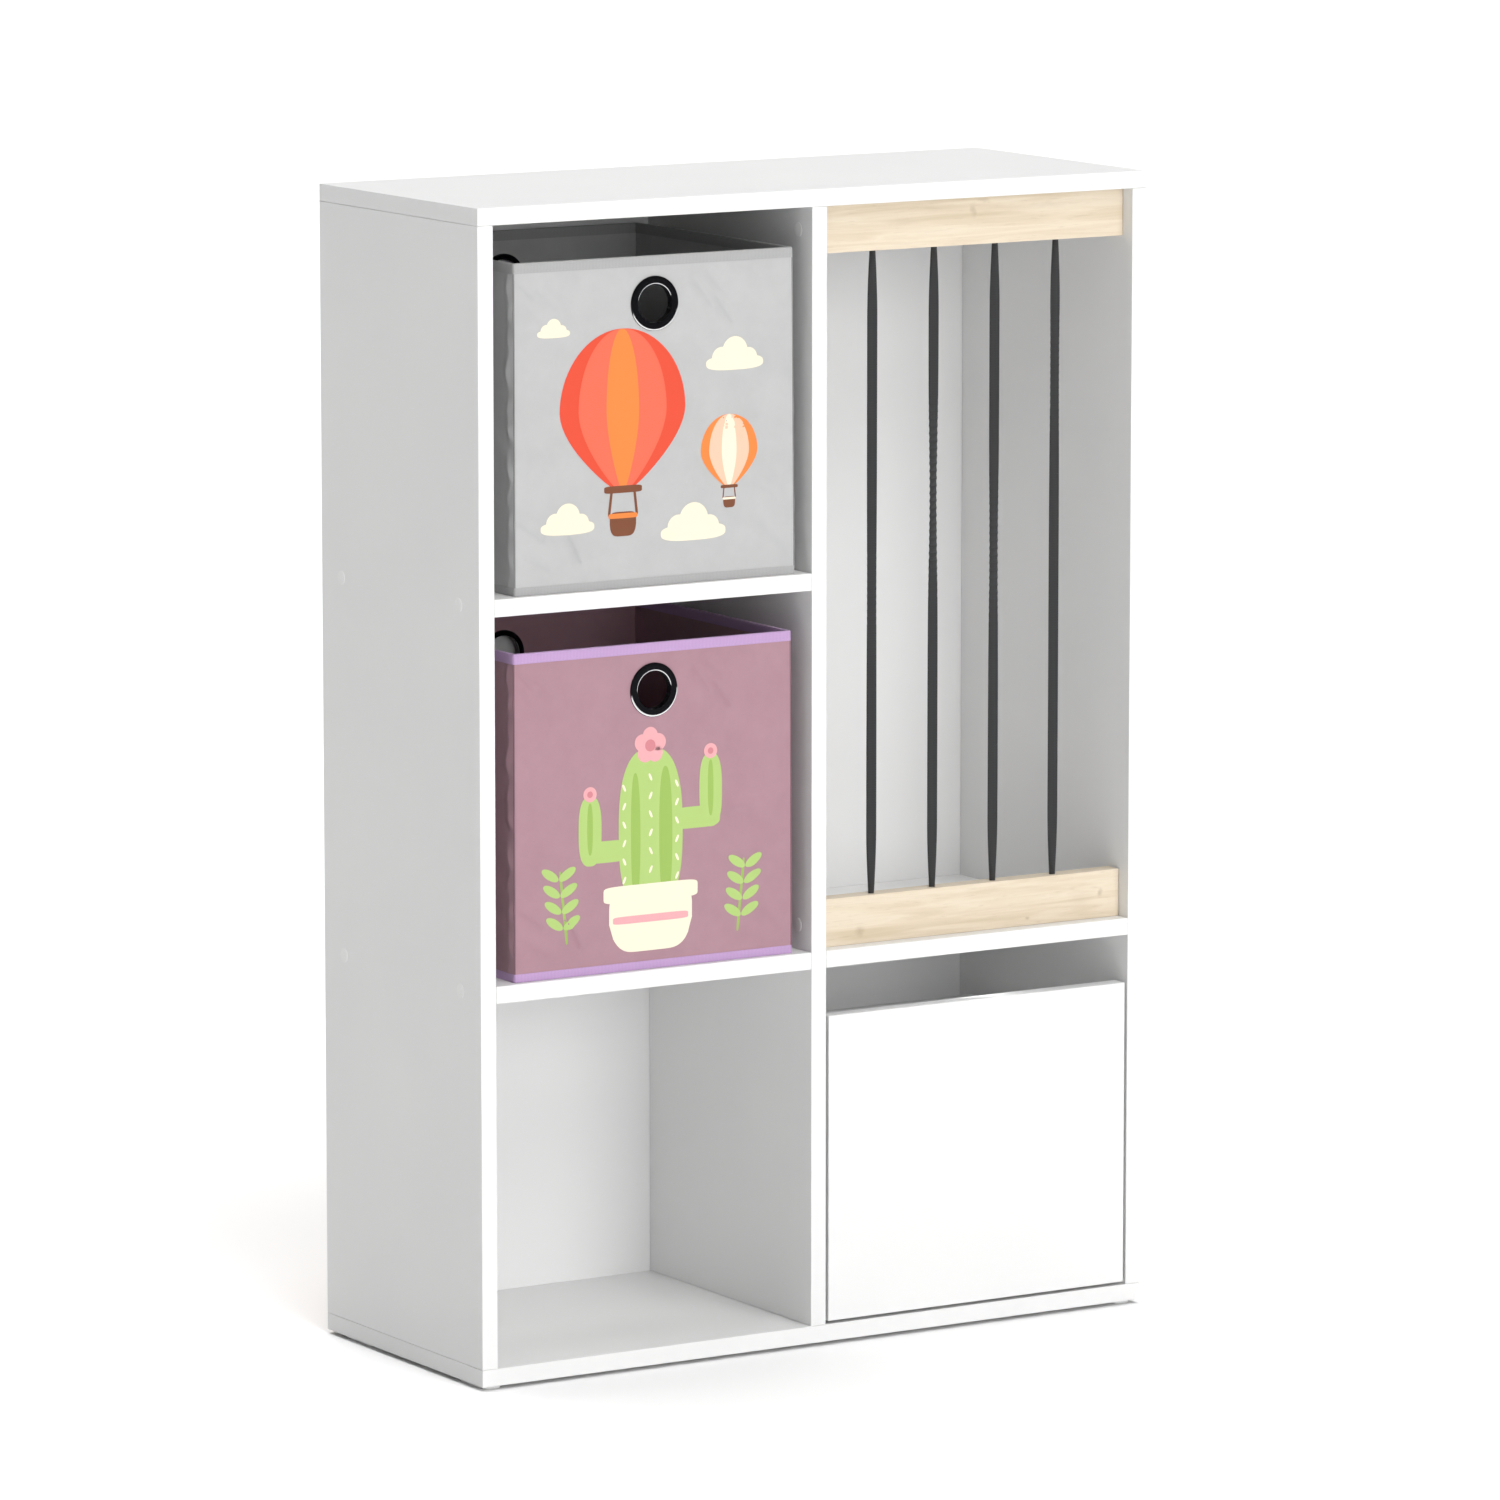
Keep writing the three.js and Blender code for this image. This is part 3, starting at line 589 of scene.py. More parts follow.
@dataclass(frozen=True)
class Moulded:
    """Injection-moulded plastic, from a polished or a spark-eroded mould.

    A polished mould gives the eye a deep gloss, an eroded one a soft even grain.
    """

    name: str
    colour: str
    roughness: float
    grain: float = 0.8 * MM
    grain_depth: float = 0.01 * MM
    wear: float = 22 * MM
    ior: float = 1.5

    @cache
    def material(self) -> bpy.types.Material:
        """Returns the finish as a material."""
        material, shader = new_material(self.name, Base_Color=linear(self.colour), IOR=self.ior)
        tree = material.node_tree
        wear = add_node(
            tree, "TexNoise", {"Scale": 1, "Detail": 3}, {"Vector": place_pattern(tree, self.wear)},
        )
        rough = add_node(
            tree, "MapRange",
            {"From Min": 0.3, "From Max": 0.7, "To Min": 0.85 * self.roughness,
             "To Max": 1.15 * self.roughness},
            {"Value": wear.outputs["Fac"]},
        )
        tree.links.new(rough.outputs["Result"], shader.inputs["Roughness"])
        grain = add_node(
            tree, "TexNoise", {"Scale": 1, "Detail": 1},
            {"Vector": place_pattern(tree, self.grain)},
        )
        add_bump(tree, shader, grain.outputs["Fac"], self.grain_depth, 0.4)
        return material


@dataclass(frozen=True)
class Steel:
    """Steel, zinc-plated and left bright, or powder-coated white.

    The plating gives the eye a cool grey metal with faint drawn lines, the coat a fine orange
    peel.
    """

    name: str
    colour: str
    metallic: float
    roughness: float
    ripple: float

    @cache
    def material(self) -> bpy.types.Material:
        """Returns the finish as a material."""
        material, shader = new_material(
            self.name, Base_Color=linear(self.colour), Metallic=self.metallic,
            Roughness=self.roughness,
        )
        tree = material.node_tree
        ripples = add_node(
            tree, "TexNoise", {"Scale": 1, "Detail": 2},
            {"Vector": place_pattern(tree, self.ripple)},
        )
        add_bump(tree, shader, ripples.outputs["Fac"], 0.02 * MM, 0.5)
        return material


@dataclass(frozen=True)
class GreyBoard:
    """Grey board, pressed from waste paper.

    It gives the eye a dull warm grey with short pale and dark fibres.
    """

    fibre: float = 2.5 * MM

    @cache
    def material(self) -> bpy.types.Material:
        """Returns the finish as a material."""
        material, shader = new_material("grey_board_pressed", Roughness=0.9, IOR=1.45)
        tree = material.node_tree
        fibres = add_node(
            tree, "TexNoise", {"Scale": 1, "Detail": 6, "Roughness": 0.7},
            {"Vector": place_pattern(tree, self.fibre)},
        )
        colour = add_node(
            tree, "ValToRGB", {"stops": [(0.3, "#7D766C"), (0.5, "#9D968A"), (0.7, "#B5AEA1")]},
            {"Fac": fibres.outputs["Fac"]},
        )
        tree.links.new(colour.outputs["Color"], shader.inputs["Base Color"])
        add_bump(tree, shader, fibres.outputs["Fac"], 0.05 * MM, 0.3)
        return material


BOARD_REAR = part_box("left_side_panel")[1].y
BACK_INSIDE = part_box("back_panel_left")[0].y
MELAMINE = Melamine()
MELAMINE_RAW_REAR = Melamine(raw_from=BOARD_REAR - 0.1 * MM)
HARDBOARD = Hardboard(raw_from=BACK_INSIDE + 0.5 * MM)
DRAWER_BASE = Hardboard(raw_from=1.0)
WHITE_CAP = Moulded("white_polyethylene_moulded", "#E9E9E8", 0.38)
GLIDE_PLASTIC = Moulded("white_glide_polyethylene_moulded", "#E2E2E1", 0.45)
NYLON = Moulded("natural_nylon_moulded", "#DFDDD4", 0.35)
BLACK_GLOSS = Moulded("black_abs_polished", "#050506", 0.06, grain=6 * MM, ior=1.55)
ZINC = Steel("zinc_plated_steel_pressed", "#C4C7C9", 1.0, 0.3, 2 * MM)
WHITE_COAT = Steel("white_powder_coated_steel", "#DEDEDC", 0.0, 0.36, 1.2 * MM)


def add_piece(
    name: str,
    bm: bmesh.types.BMesh,
    materials: Sequence[bpy.types.Material],
    body: str,
    sharp: float = SHARP_ANGLE,
) -> bpy.types.Object:
    """Makes a bmesh into a piece that rides on a body, and frees the bmesh.

    Args:
        name: The piece's name.
        bm: Its shape, in place.
        materials: Its materials, in the order of the faces' numbers.
        body: The body that it moves with.
        sharp: Edges with a larger angle than this are shaded as edges.

    Returns:
        The new object.
    """
    mesh = bpy.data.meshes.new(name)
    bm.to_mesh(mesh)
    bm.free()
    mesh.shade_smooth()
    mesh.set_sharp_from_angle(angle=sharp)
    for material in materials:
        mesh.materials.append(material)
    piece = bpy.data.objects.new(name, mesh)
    bpy.context.scene.collection.objects.link(piece)
    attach(piece, body)
    log.info("%s: %d faces, on %s", name, len(mesh.polygons), body)
    return piece


def dress_node(name: str, material: bpy.types.Material, arris: float) -> None:
    """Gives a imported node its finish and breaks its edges.

    Args:
        name: The node's name.
        material: The finish.
        arris: Width of the rounding at its edges, or 0 for none.
    """
    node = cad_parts[name]
    for slot in node.material_slots:
        slot.material = material
    if arris:
        weld = node.modifiers.new("weld", "WELD")
        weld.merge_threshold = MERGE_DISTANCE
        bevel = node.modifiers.new("arris", "BEVEL")
        bevel.width = arris
        bevel.segments = 2
        bevel.limit_method = "ANGLE"
        bevel.angle_limit = ARRIS_ANGLE
        bevel.use_clamp_overlap = False
    log.info("%s: dressed in %s", name, material.name)


def turned(
    profile: Sequence[tuple[float, float]], centre: Vector, axis: Axis, steps: int
) -> bmesh.types.BMesh:
    """Spins an outline fully round an axis.

    Args:
        profile: Points as radius and height along the axis. Its ends lie on the axis, or it
            closes on itself.
        centre: Where height 0 lies on the axis.
        axis: The direction of growing height.
        steps: Facets round the full turn.

    Returns:
        A closed skin that faces outwards.
    """
    bm = bmesh.new()
    points = [bm.verts.new((radius, 0, height)) for radius, height in profile]
    closed = profile[0][0] > MERGE_DISTANCE
    followers = points[1:] + points[:1] if closed else points[1:]
    edges = [bm.edges.new(pair) for pair in zip(points, followers)]
    bmesh.ops.spin(
        bm, geom=points + edges, cent=(0, 0, 0), axis=(0, 0, 1), dvec=(0, 0, 0), angle=FULL_TURN,
        steps=steps, use_merge=True, use_normal_flip=False, use_duplicate=False,
    )
    bmesh.ops.remove_doubles(bm, verts=bm.verts, dist=MERGE_DISTANCE)
    bmesh.ops.recalc_face_normals(bm, faces=bm.faces)
    turn = Vector((0, 0, 1)).rotation_difference(Vector(axis.value)).to_matrix()
    bmesh.ops.rotate(bm, cent=(0, 0, 0), matrix=turn, verts=bm.verts)
    bmesh.ops.translate(bm, vec=centre, verts=bm.verts)
    return bm


def arc(
    middle: tuple[float, float],
    radius: float,
    start: float,
    end: float,
    steps: int,
    rise: float | None = None,
) -> list[tuple[float, float]]:
    """Gives points on an arc, for the outline of a turned piece.

    Args:
        middle: The arc's centre.
        radius: Its radius, across the piece's axis.
        start: Its first angle in degrees, counted from the direction of growing radius.
        end: Its last angle in degrees.
        steps: How many stretches it has.
        rise: Its radius along the piece's axis, where that differs.

    Returns:
        The points, ends included.
    """
    high = radius if rise is None else rise
    angles = [math.radians(start + (end - start) * i / steps) for i in range(steps + 1)]
    return [(middle[0] + radius * math.cos(a), middle[1] + high * math.sin(a)) for a in angles]


def absorb(whole: bmesh.types.BMesh, part: bmesh.types.BMesh) -> None:
    """Copies a bmesh into another one, and frees it.

    Args:
        whole: The bmesh that grows.
        part: The bmesh that goes into it.
    """
    mesh = bpy.data.meshes.new("part")
    part.to_mesh(mesh)
    part.free()
    whole.from_mesh(mesh)
    bpy.data.meshes.remove(mesh)


def cut_grid(
    bm: bmesh.types.BMesh,
    spans: Sequence[tuple[float, float] | None],
    pitch: float,
    splits: int = 1,
) -> None:
    """Cuts every face along evenly spaced planes, so that the piece can bend.

    Args:
        bm: The bmesh.
        spans: The stretch that is cut along X, Y and Z, or None where it isn't.
        pitch: The widest space between two planes.
        splits: Into how many parts each space is cut once more.
    """
    for direction, span in enumerate(spans):
        if span is None:
            continue
        count = splits * math.ceil((span[1] - span[0]) / pitch)
        reach = [v.co[direction] for v in bm.verts]
        low, high = min(reach), max(reach)
        normal = [float(i == direction) for i in range(3)]
        for i in range(1, count):
            place = span[0] + (span[1] - span[0]) * i / count
            if low < place < high:
                bmesh.ops.bisect_plane(
                    bm, geom=bm.verts[:] + bm.edges[:] + bm.faces[:], dist=MERGE_DISTANCE,
                    plane_co=[n * place for n in normal], plane_no=normal,
                )


def merged_copy(name: str) -> bmesh.types.BMesh:
    """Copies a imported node's solid, with its vertices merged and its flat faces whole.

    Args:
        name: The node's name.

    Returns:
        The copy.
    """
    bm = bmesh.new()
    bm.from_mesh(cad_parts[name].data)
    bmesh.ops.remove_doubles(bm, verts=bm.verts, dist=MERGE_DISTANCE)
    bmesh.ops.dissolve_limit(bm, angle_limit=FLAT_ANGLE, verts=bm.verts, edges=bm.edges)
    return bm


def round_uprights(bm: bmesh.types.BMesh, middle: Vector, half: Vector, radius: float) -> None:
    """Rounds the four upright corner edges of a box-shaped piece.

    Args:
        bm: The bmesh.
        middle: The box's middle.
        half: Its half-lengths.
        radius: The corners' radius.
    """
    near = 0.1 * MM

    def on_corner(vertex: bmesh.types.BMVert) -> bool:
        """Tells whether a vertex lies on one of the four edges."""
        place = vertex.co - middle
        return abs(abs(place.x) - half.x) < near and abs(abs(place.y) - half.y) < near

    uprights = [e for e in bm.edges if all(on_corner(v) for v in e.verts)]
    uprights = [e for e in uprights if abs(e.verts[0].co.z - e.verts[1].co.z) > near]
    bmesh.ops.bevel(
        bm, geom=uprights, offset=radius, affect="EDGES", segments=4, profile=0.5, material=-1,
    )


def stack_rings(
    middle: Vector, rings: Sequence[tuple[float, float, float, float]], steps: int = 4
) -> bmesh.types.BMesh:
    """Draws a wall through rounded rectangles that lie above or inside each other.

    Args:
        middle: The point that they are centred over.
        rings: Half-length along X and along Y, corner radius and height of each, in order.
        steps: Stretches round each corner.

    Returns:
        The wall, open at its first and its last ring.
    """
    bm = bmesh.new()
    bmesh.ops.create_circle(bm, segments=4 * (steps + 1), radius=1)
    ring, edges, centre = bm.verts[:], bm.edges[:], Vector((0, 0, 0))
    for i, (half_x, half_y, radius, height) in enumerate(rings):
        if i:
            grown = bmesh.ops.extrude_edge_only(bm, edges=edges)["geom"]
            ring = [v for v in grown if isinstance(v, bmesh.types.BMVert)]
            edges = [e for e in grown if isinstance(e, bmesh.types.BMEdge)]
            edges = [e for e in edges if all(v in ring for v in e.verts)]
        ring.sort(key=lambda v: math.atan2(v.co.y - centre.y, v.co.x - centre.x))
        for number, vertex in enumerate(ring):
            quarter, step = divmod(number, steps + 1)
            angle = math.pi + (quarter + step / steps) * math.pi / 2
            sign_x, sign_y = ((-1, -1), (1, -1), (1, 1), (-1, 1))[quarter]
            vertex.co = (
                middle.x + sign_x * (half_x - radius) + radius * math.cos(angle),
                middle.y + sign_y * (half_y - radius) + radius * math.sin(angle),
                height,
            )
        centre = middle
    bmesh.ops.recalc_face_normals(bm, faces=bm.faces)
    return bm


@dataclass
class Carcass:
    """White boards, back sheets, glides, and the caps and nails that show on them."""

    arris: float = 0.55 * MM
    glide_arris: float = 0.6 * MM
    cap_radius: float = 6.5 * MM
    cap_gap: float = 0.3 * MM  # between the screw's head and the cap's rim
    cap_height: float = 0.85 * MM
    cap_edge: float = 0.35 * MM
    nail_radius: float = 2.3 * MM
    nail_height: float = 0.6 * MM
    nail_pitch: float = 140 * MM
    nail_inset: float = 6 * MM

    boards: tuple[str, ...] = (
        "left_side_panel", "right_side_panel", "centre_divider", "upper_left_shelf",
        "lower_left_shelf", "right_shelf", "top_panel", "bottom_panel",
    )
    capped_left: tuple[str, ...] = (
        "upper_left_shelf_screw_front", "upper_left_shelf_screw_rear",
        "lower_left_shelf_screw_front", "lower_left_shelf_screw_rear",
        "upper_rail_screw_left", "lower_rail_screw_left",
    )
    capped_right: tuple[str, ...] = (
        "right_shelf_screw_front", "right_shelf_screw_rear",
        "upper_rail_screw_right", "lower_rail_screw_right",
    )

    def build(self) -> None:
        """Dresses the boards and adds the small pieces."""
        for board in self.boards:
            dress_node(board, MELAMINE_RAW_REAR.material(), self.arris)
        for sheet in ("back_panel_left", "back_panel_right"):
            dress_node(sheet, HARDBOARD.material(), 0)
            self.add_nails(sheet)
        for row in ("front", "rear"):
            for side in ("left", "right"):
                dress_node(f"glide_{row}_{side}", GLIDE_PLASTIC.material(), self.glide_arris)
        for screw in self.capped_left + self.capped_right:
            dress_node(screw, ZINC.material(), 0)
        for screw in self.capped_left:
            self.add_cap(screw, Axis.LEFT)
        for screw in self.capped_right:
            self.add_cap(screw, Axis.RIGHT)

    def add_cap(self, screw: str, axis: Axis) -> None:
        """Covers a screw's head with a domed plastic cap.

        Args:
            screw: The screw's node.
            axis: The direction that the head faces.
        """
        low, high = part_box(screw)
        face = low.x - self.cap_gap if axis is Axis.LEFT else high.x + self.cap_gap
        centre = Vector((face, (low.y + high.y) / 2, (low.z + high.z) / 2))
        crown, steps = self.cap_height - self.cap_edge, 8
        lens = [
            (self.cap_radius * (1 - i / steps),
             self.cap_edge + crown * i * (2 * steps - i) / steps ** 2)
            for i in range(steps + 1)
        ]
        cap = turned([(0, 0), (self.cap_radius, 0), *lens], centre, axis, 40)
        add_piece(f"{screw}_cap", cap, [WHITE_CAP.material()], "root")

    def add_nails(self, sheet: str) -> None:
        """Drives a row of nails round the edge of a back sheet.

        Args:
            sheet: The sheet's node.
        """
        low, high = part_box(sheet)
        left, right = low.x + self.nail_inset, high.x - self.nail_inset
        bottom, top = low.z + self.nail_inset, high.z - self.nail_inset
        rows = math.ceil((top - bottom) / self.nail_pitch)
        columns = math.ceil((right - left) / self.nail_pitch)
        places = []
        for i in range(rows + 1):
            z = bottom + (top - bottom) * i / rows
            places += [(left, z), (right, z)]
        for i in range(1, columns):
            x = left + (right - left) * i / columns
            places += [(x, bottom), (x, top)]
        dome = [(0, 0), (self.nail_radius, 0), (0.85 * self.nail_radius, 0.6 * self.nail_height)]
        profile = [*dome, (0.45 * self.nail_radius, 0.95 * self.nail_height), (0, self.nail_height)]
        nails = bmesh.new()
        for x, z in places:
            absorb(nails, turned(profile, Vector((x, high.y, z)), Axis.REAR, 12))
        add_piece(f"{sheet}_nails", nails, [ZINC.material()], "root")


@dataclass
class ToyBay:
    """Two maple rails with four elastic bands stretched between them."""

    rail_arris: float = 1.1 * MM
    band_count: int = 4
    band_width: float = 10.8 * MM
    band_thickness: float = 1.4 * MM
    gather_radius: float = 2.8 * MM
    taper: float = 62 * MM
    edge_sharpness: float = 0.45
    knot_radius: float = 5.4 * MM
    knot_height: float = 8 * MM
    knot_steps: int = 8
    knot_fullness: float = 0.7  # below 1 the knot is rounder at its ends
    knot_neck: float = 0.5  # its thinnest place, as a share of the gathered band
    turn_spread: float = 80 * MM
    turns: tuple[tuple[float, float], ...] = (
        (6, 282 * MM), (20, 364 * MM), (11, 308 * MM), (8, 472 * MM),
    )
    section_points: int = 24
    station_pitch: float = 7 * MM

    upper_knots: tuple[Knot, ...] = (
        Knot(177 * MM, 1049 * MM, 4.5 * MM, 9 * MM, 0.28),
        Knot(187 * MM, 1058 * MM, 12 * MM, 3 * MM, 0.26),
        Knot(100 * MM, 1042 * MM, 26 * MM, 6 * MM, 0.13),
        Knot(258 * MM, 1050 * MM, 30 * MM, 4 * MM, 0.12),
    )
    lower_knots: tuple[Knot, ...] = (
        Knot(54 * MM, 385 * MM, 7 * MM, 7 * MM, 0.32),
        Knot(322 * MM, 397 * MM, 4 * MM, 6 * MM, 0.4),
        Knot(240 * MM, 380 * MM, 3.5 * MM, 2.5 * MM, 0.45),
        Knot(300 * MM, 392 * MM, 20 * MM, 14 * MM, 0.1),
    )

    def build(self) -> None:
        """Dresses the rails and stretches the bands."""
        dress_node("upper_rail", Maple(knots=self.upper_knots).material(), self.rail_arris)
        dress_node("lower_rail", Maple(knots=self.lower_knots).material(), self.rail_arris)
        for number in range(1, self.band_count + 1):
            self.add_band(number)

    def section(self, spread: float, turn: float, scale: float) -> list[tuple[Vector, float]]:
        """Gives one band's section.

        Args:
            spread: From 0, gathered round, to 1, flat.
            turn: How far the section is turned about its length, in radians.
            scale: Size of the section, for the knots.

        Returns:
            Each point about the band's middle, and how far across the band it lies.
        """
        half_width = self.gather_radius + (self.band_width / 2 - self.gather_radius) * spread
        half_thick = self.gather_radius + (self.band_thickness / 2 - self.gather_radius) * spread
        power = 1 + (self.edge_sharpness - 1) * spread
        points = []
        for i in range(self.section_points):
            angle = (i + 0.5) * FULL_TURN / self.section_points
            x = half_width * math.copysign(abs(math.cos(angle)) ** power, math.cos(angle))
            y = half_thick * math.copysign(abs(math.sin(angle)) ** power, math.sin(angle))
            place = Matrix.Rotation(turn, 3, "Z") @ Vector((x * scale, y * scale, 0))
            points.append((place, x / half_width * self.band_width / 2))
        return points

    def stations(self, low: float, high: float) -> list[tuple[float, float, float]]:
        """Gives the heights at which a band's section is set.

        Args:
            low: The lower end of the band.
            high: Its upper end.

        Returns:
            Each height with the share of full width and the size of the section there.
        """
        mouth_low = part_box("lower_rail")[1].z
        mouth_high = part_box("upper_rail")[0].z
        found = []
        for i in range(1, self.knot_steps):
            share = i / self.knot_steps
            swell = math.sin(math.pi * share) ** self.knot_fullness
            bulge = max(swell * self.knot_radius / self.gather_radius, self.knot_neck)
            found.append((low + share * self.knot_height, 0.0, bulge))
            found.append((high - share * self.knot_height, 0.0, bulge))
        start, end = low + self.knot_height, high - self.knot_height
        count = math.ceil((end - start) / self.station_pitch)
        for i in range(count + 1):
            height = start + (end - start) * i / count
            reach = min(height - mouth_low, mouth_high - height)
            spread = math.sin(math.pi / 2 * min(max(reach / self.taper, 0), 1))
            found.append((height, spread, 1.0))
        return sorted(found)

    def add_band(self, number: int) -> None:
        """Makes one elastic band with its two knots.

        Args:
            number: The band's number, from the left.
        """
        name = f"elastic_band_{number}"
        low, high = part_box(name)
        middle = Vector(((low.x + high.x) / 2, (low.y + high.y) / 2, 0))
        degrees, rise = self.turns[number - 1]
        lean_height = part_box("lower_rail")[1].z + rise
        bm = bmesh.new()
        across = bm.verts.layers.float.new("across")
        bmesh.ops.create_circle(bm, cap_ends=True, segments=self.section_points, radius=1)
        ring = bm.verts[:]
        bmesh.ops.recalc_face_normals(bm, faces=bm.faces)
        cap = bm.faces[:][0]
        for i, (height, spread, scale) in enumerate(self.stations(low.z, high.z)):
            if i:
                grown = bmesh.ops.extrude_face_region(bm, geom=[cap])["geom"]
                ring = [v for v in grown if isinstance(v, bmesh.types.BMVert)]
                cap = next(f for f in grown if isinstance(f, bmesh.types.BMFace))
            fade = math.exp(-(((height - lean_height) / self.turn_spread) ** 2))
            points = self.section(spread, math.radians(degrees) * fade, scale)
            for vertex, (place, offset) in zip(self.in_order(ring, middle if i else None), points):
                vertex.co = middle + place + Vector((0, 0, height))
                vertex[across] = offset
        bmesh.ops.recalc_face_normals(bm, faces=bm.faces)
        band = add_piece(name + "_webbing", bm, [ElasticWebbing().material()], "root")
        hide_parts(name)

    @staticmethod
    def in_order(
        ring: Sequence[bmesh.types.BMVert], middle: Vector | None
    ) -> list[bmesh.types.BMVert]:
        """Sorts a ring's vertices round their middle, starting from the direction of +X.

        Args:
            ring: The vertices.
            middle: The ring's middle, or None where that is the origin.

        Returns:
            The vertices, counter-clockwise seen from above.
        """
        centre = middle or Vector((0, 0, 0))
        return sorted(
            ring, key=lambda v: math.atan2(v.co.y - centre.y, v.co.x - centre.x) % FULL_TURN
        )


@dataclass
class DrawerBay:
    """The drawer, its roller runners and their rollers."""

    arris: float = 0.5 * MM
    runner_arris: float = 0.25 * MM
    channel_sheet: float = 1.2 * MM
    roller_bore: float = 3.3 * MM
    roller_edge: float = 0.9 * MM
    roller_groove: float = 0.5 * MM
    screw_radius: float = 3.2 * MM
    screw_height: float = 0.15 * MM
    screw_places: tuple[float, ...] = (0.3, 0.55, 0.85)  # shares of the channel's length

    def build(self) -> None:
        """Dresses the drawer and makes its rollers and screws."""
        for board in ("drawer_front", "drawer_left_side", "drawer_right_side", "drawer_back"):
            dress_node(board, MELAMINE.material(), self.arris)
        dress_node("drawer_bottom", DRAWER_BASE.material(), 0)
        for side, inward in (("left", Axis.RIGHT), ("right", Axis.LEFT)):
            dress_node(f"cabinet_runner_{side}", WHITE_COAT.material(), self.runner_arris)
            dress_node(f"drawer_runner_{side}", WHITE_COAT.material(), self.runner_arris)
            for owner in ("cabinet", "drawer"):
                self.add_roller(f"{owner}_roller_{side}")
            self.add_runner_screws(side, inward)

    def add_roller(self, name: str) -> None:
        """Makes one nylon roller with rounded edges and a shallow groove.

        Args:
            name: The roller's node, which is also its body.
        """
        low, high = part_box(name)
        centre = Vector((low.x, (low.y + high.y) / 2, (low.z + high.z) / 2))
        width, radius = high.x - low.x, (high.z - low.z) / 2
        edge, bore = self.roller_edge, self.roller_bore
        near = arc((radius - edge, edge), edge, -90, 0, 4)
        far = arc((radius - edge, width - edge), edge, 0, 90, 4)
        groove = [
            (radius, 0.4 * width), (radius - self.roller_groove, 0.45 * width),
            (radius - self.roller_groove, 0.55 * width), (radius, 0.6 * width),
        ]
        profile = [(bore, 0), *near, *groove, *far, (bore, width)]
        roller = add_piece(name + "_wheel", turned(profile, centre, Axis.RIGHT, 64),
                           [NYLON.material()], name)
        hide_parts(name)

    def add_runner_screws(self, side: str, inward: Axis) -> None:
        """Fixes a channel to the bay's wall with flush screws.

        Args:
            side: The bay's side.
            inward: The direction from the wall into the bay.
        """
        low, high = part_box(f"cabinet_runner_{side}")
        face = low.x + self.channel_sheet if inward is Axis.RIGHT else high.x - self.channel_sheet
        screws = bmesh.new()
        slope, recess, floor = 0.2 * MM, 0.5 * self.screw_radius, 0.02 * MM
        profile = [
            (0, 0), (self.screw_radius, 0), (self.screw_radius - slope, self.screw_height),
            (recess, self.screw_height), (0.3 * recess, floor), (0, floor),
        ]
        for share in self.screw_places:
            y = low.y + share * (high.y - low.y)
            absorb(screws, turned(profile, Vector((face, y, (low.z + high.z) / 2)), inward, 24))
        add_piece(f"cabinet_runner_{side}_screws", screws, [ZINC.material()], "root")


@dataclass(frozen=True)
class Crease:
    """A low fold in a box's wall: its ends across and up the wall, its width and height."""

    start: tuple[float, float]
    end: tuple[float, float]
    width: float
    height: float

    def at(self, across: float, up: float) -> float:
        """Gives the fold's height at a place on the wall.

        Args:
            across: Distance from the wall's middle.
            up: Height above the box's underside.

        Returns:
            The height, positive outwards.
        """
        ax, ay = self.start
        dx, dy = self.end[0] - ax, self.end[1] - ay
        share = ((across - ax) * dx + (up - ay) * dy) / (dx * dx + dy * dy)
        held = min(max(share, 0), 1)
        gap = math.hypot(across - ax - held * dx, up - ay - held * dy)
        return self.height * math.exp(-((gap / self.width) ** 2))


@dataclass(frozen=True)
class Shape:
    """One flat patch of printed ink: an ellipse, squared or tapered where that is asked for."""

    ink: str
    across: float
    up: float
    half_width: float
    half_height: float
    layer: int = 0
    lean: float = 0.0  # degrees, counter-clockwise seen from the front
    squareness: float = 2.0  # 2 is an ellipse, 6 nearly a rectangle
    taper: float = 0.0  # share by which the lower end is narrowed


class Ink(Enum):
    """Printing inks, as their colour on the cloth."""

    RED = "#D94C34"
    CORAL = "#E3684F"
    ORANGE = "#E2813E"
    PEACH = "#E3BCA2"
    CREAM = "#E8DFC8"
    BROWN = "#7A4A33"
    LEAF = "#A8C373"
    MOSS = "#95B359"
    PINK = "#DDA2A6"
    ROSE = "#C97F86"


def balloon(across: float, up: float, radius: float, panels: Sequence[str]) -> list[Shape]:
    """Lays out a hot-air balloon.

    Args:
        across: The envelope's middle across the panel.
        up: The envelope's middle above the box's underside.
        radius: The envelope's radius.
        panels: Inks of the envelope from the outer gores to the middle one, then the basket's.

    Returns:
        The balloon's shapes.
    """
    *gores, basket = panels
    widths = [1.0, 0.7, 0.26]
    shapes = [
        Shape(ink, across, up, radius * width, 1.12 * radius, layer=i + 1, taper=0.5)
        for i, (ink, width) in enumerate(zip(gores, widths))
    ]
    foot = up - 1.12 * radius
    hang = 0.3 * radius
    for sign in (-1, 1):
        shapes.append(Shape(
            basket, across + sign * 0.2 * radius, foot - hang / 2, 0.02 * radius, 0.62 * hang,
            layer=1, lean=sign * 7, squareness=6,
        ))
    shapes.append(Shape(basket, across, foot + 0.03 * radius, 0.3 * radius, 0.05 * radius, 4, 0, 6))
    shapes.append(Shape(
        basket, across, foot - 1.5 * hang, 0.21 * radius, 0.17 * radius, 2, 0, 5, 0.2,
    ))
    shapes.append(Shape(
        gores[-1], across, foot - 1.12 * hang, 0.23 * radius, 0.035 * radius, 3, 0, 6,
    ))
    return shapes


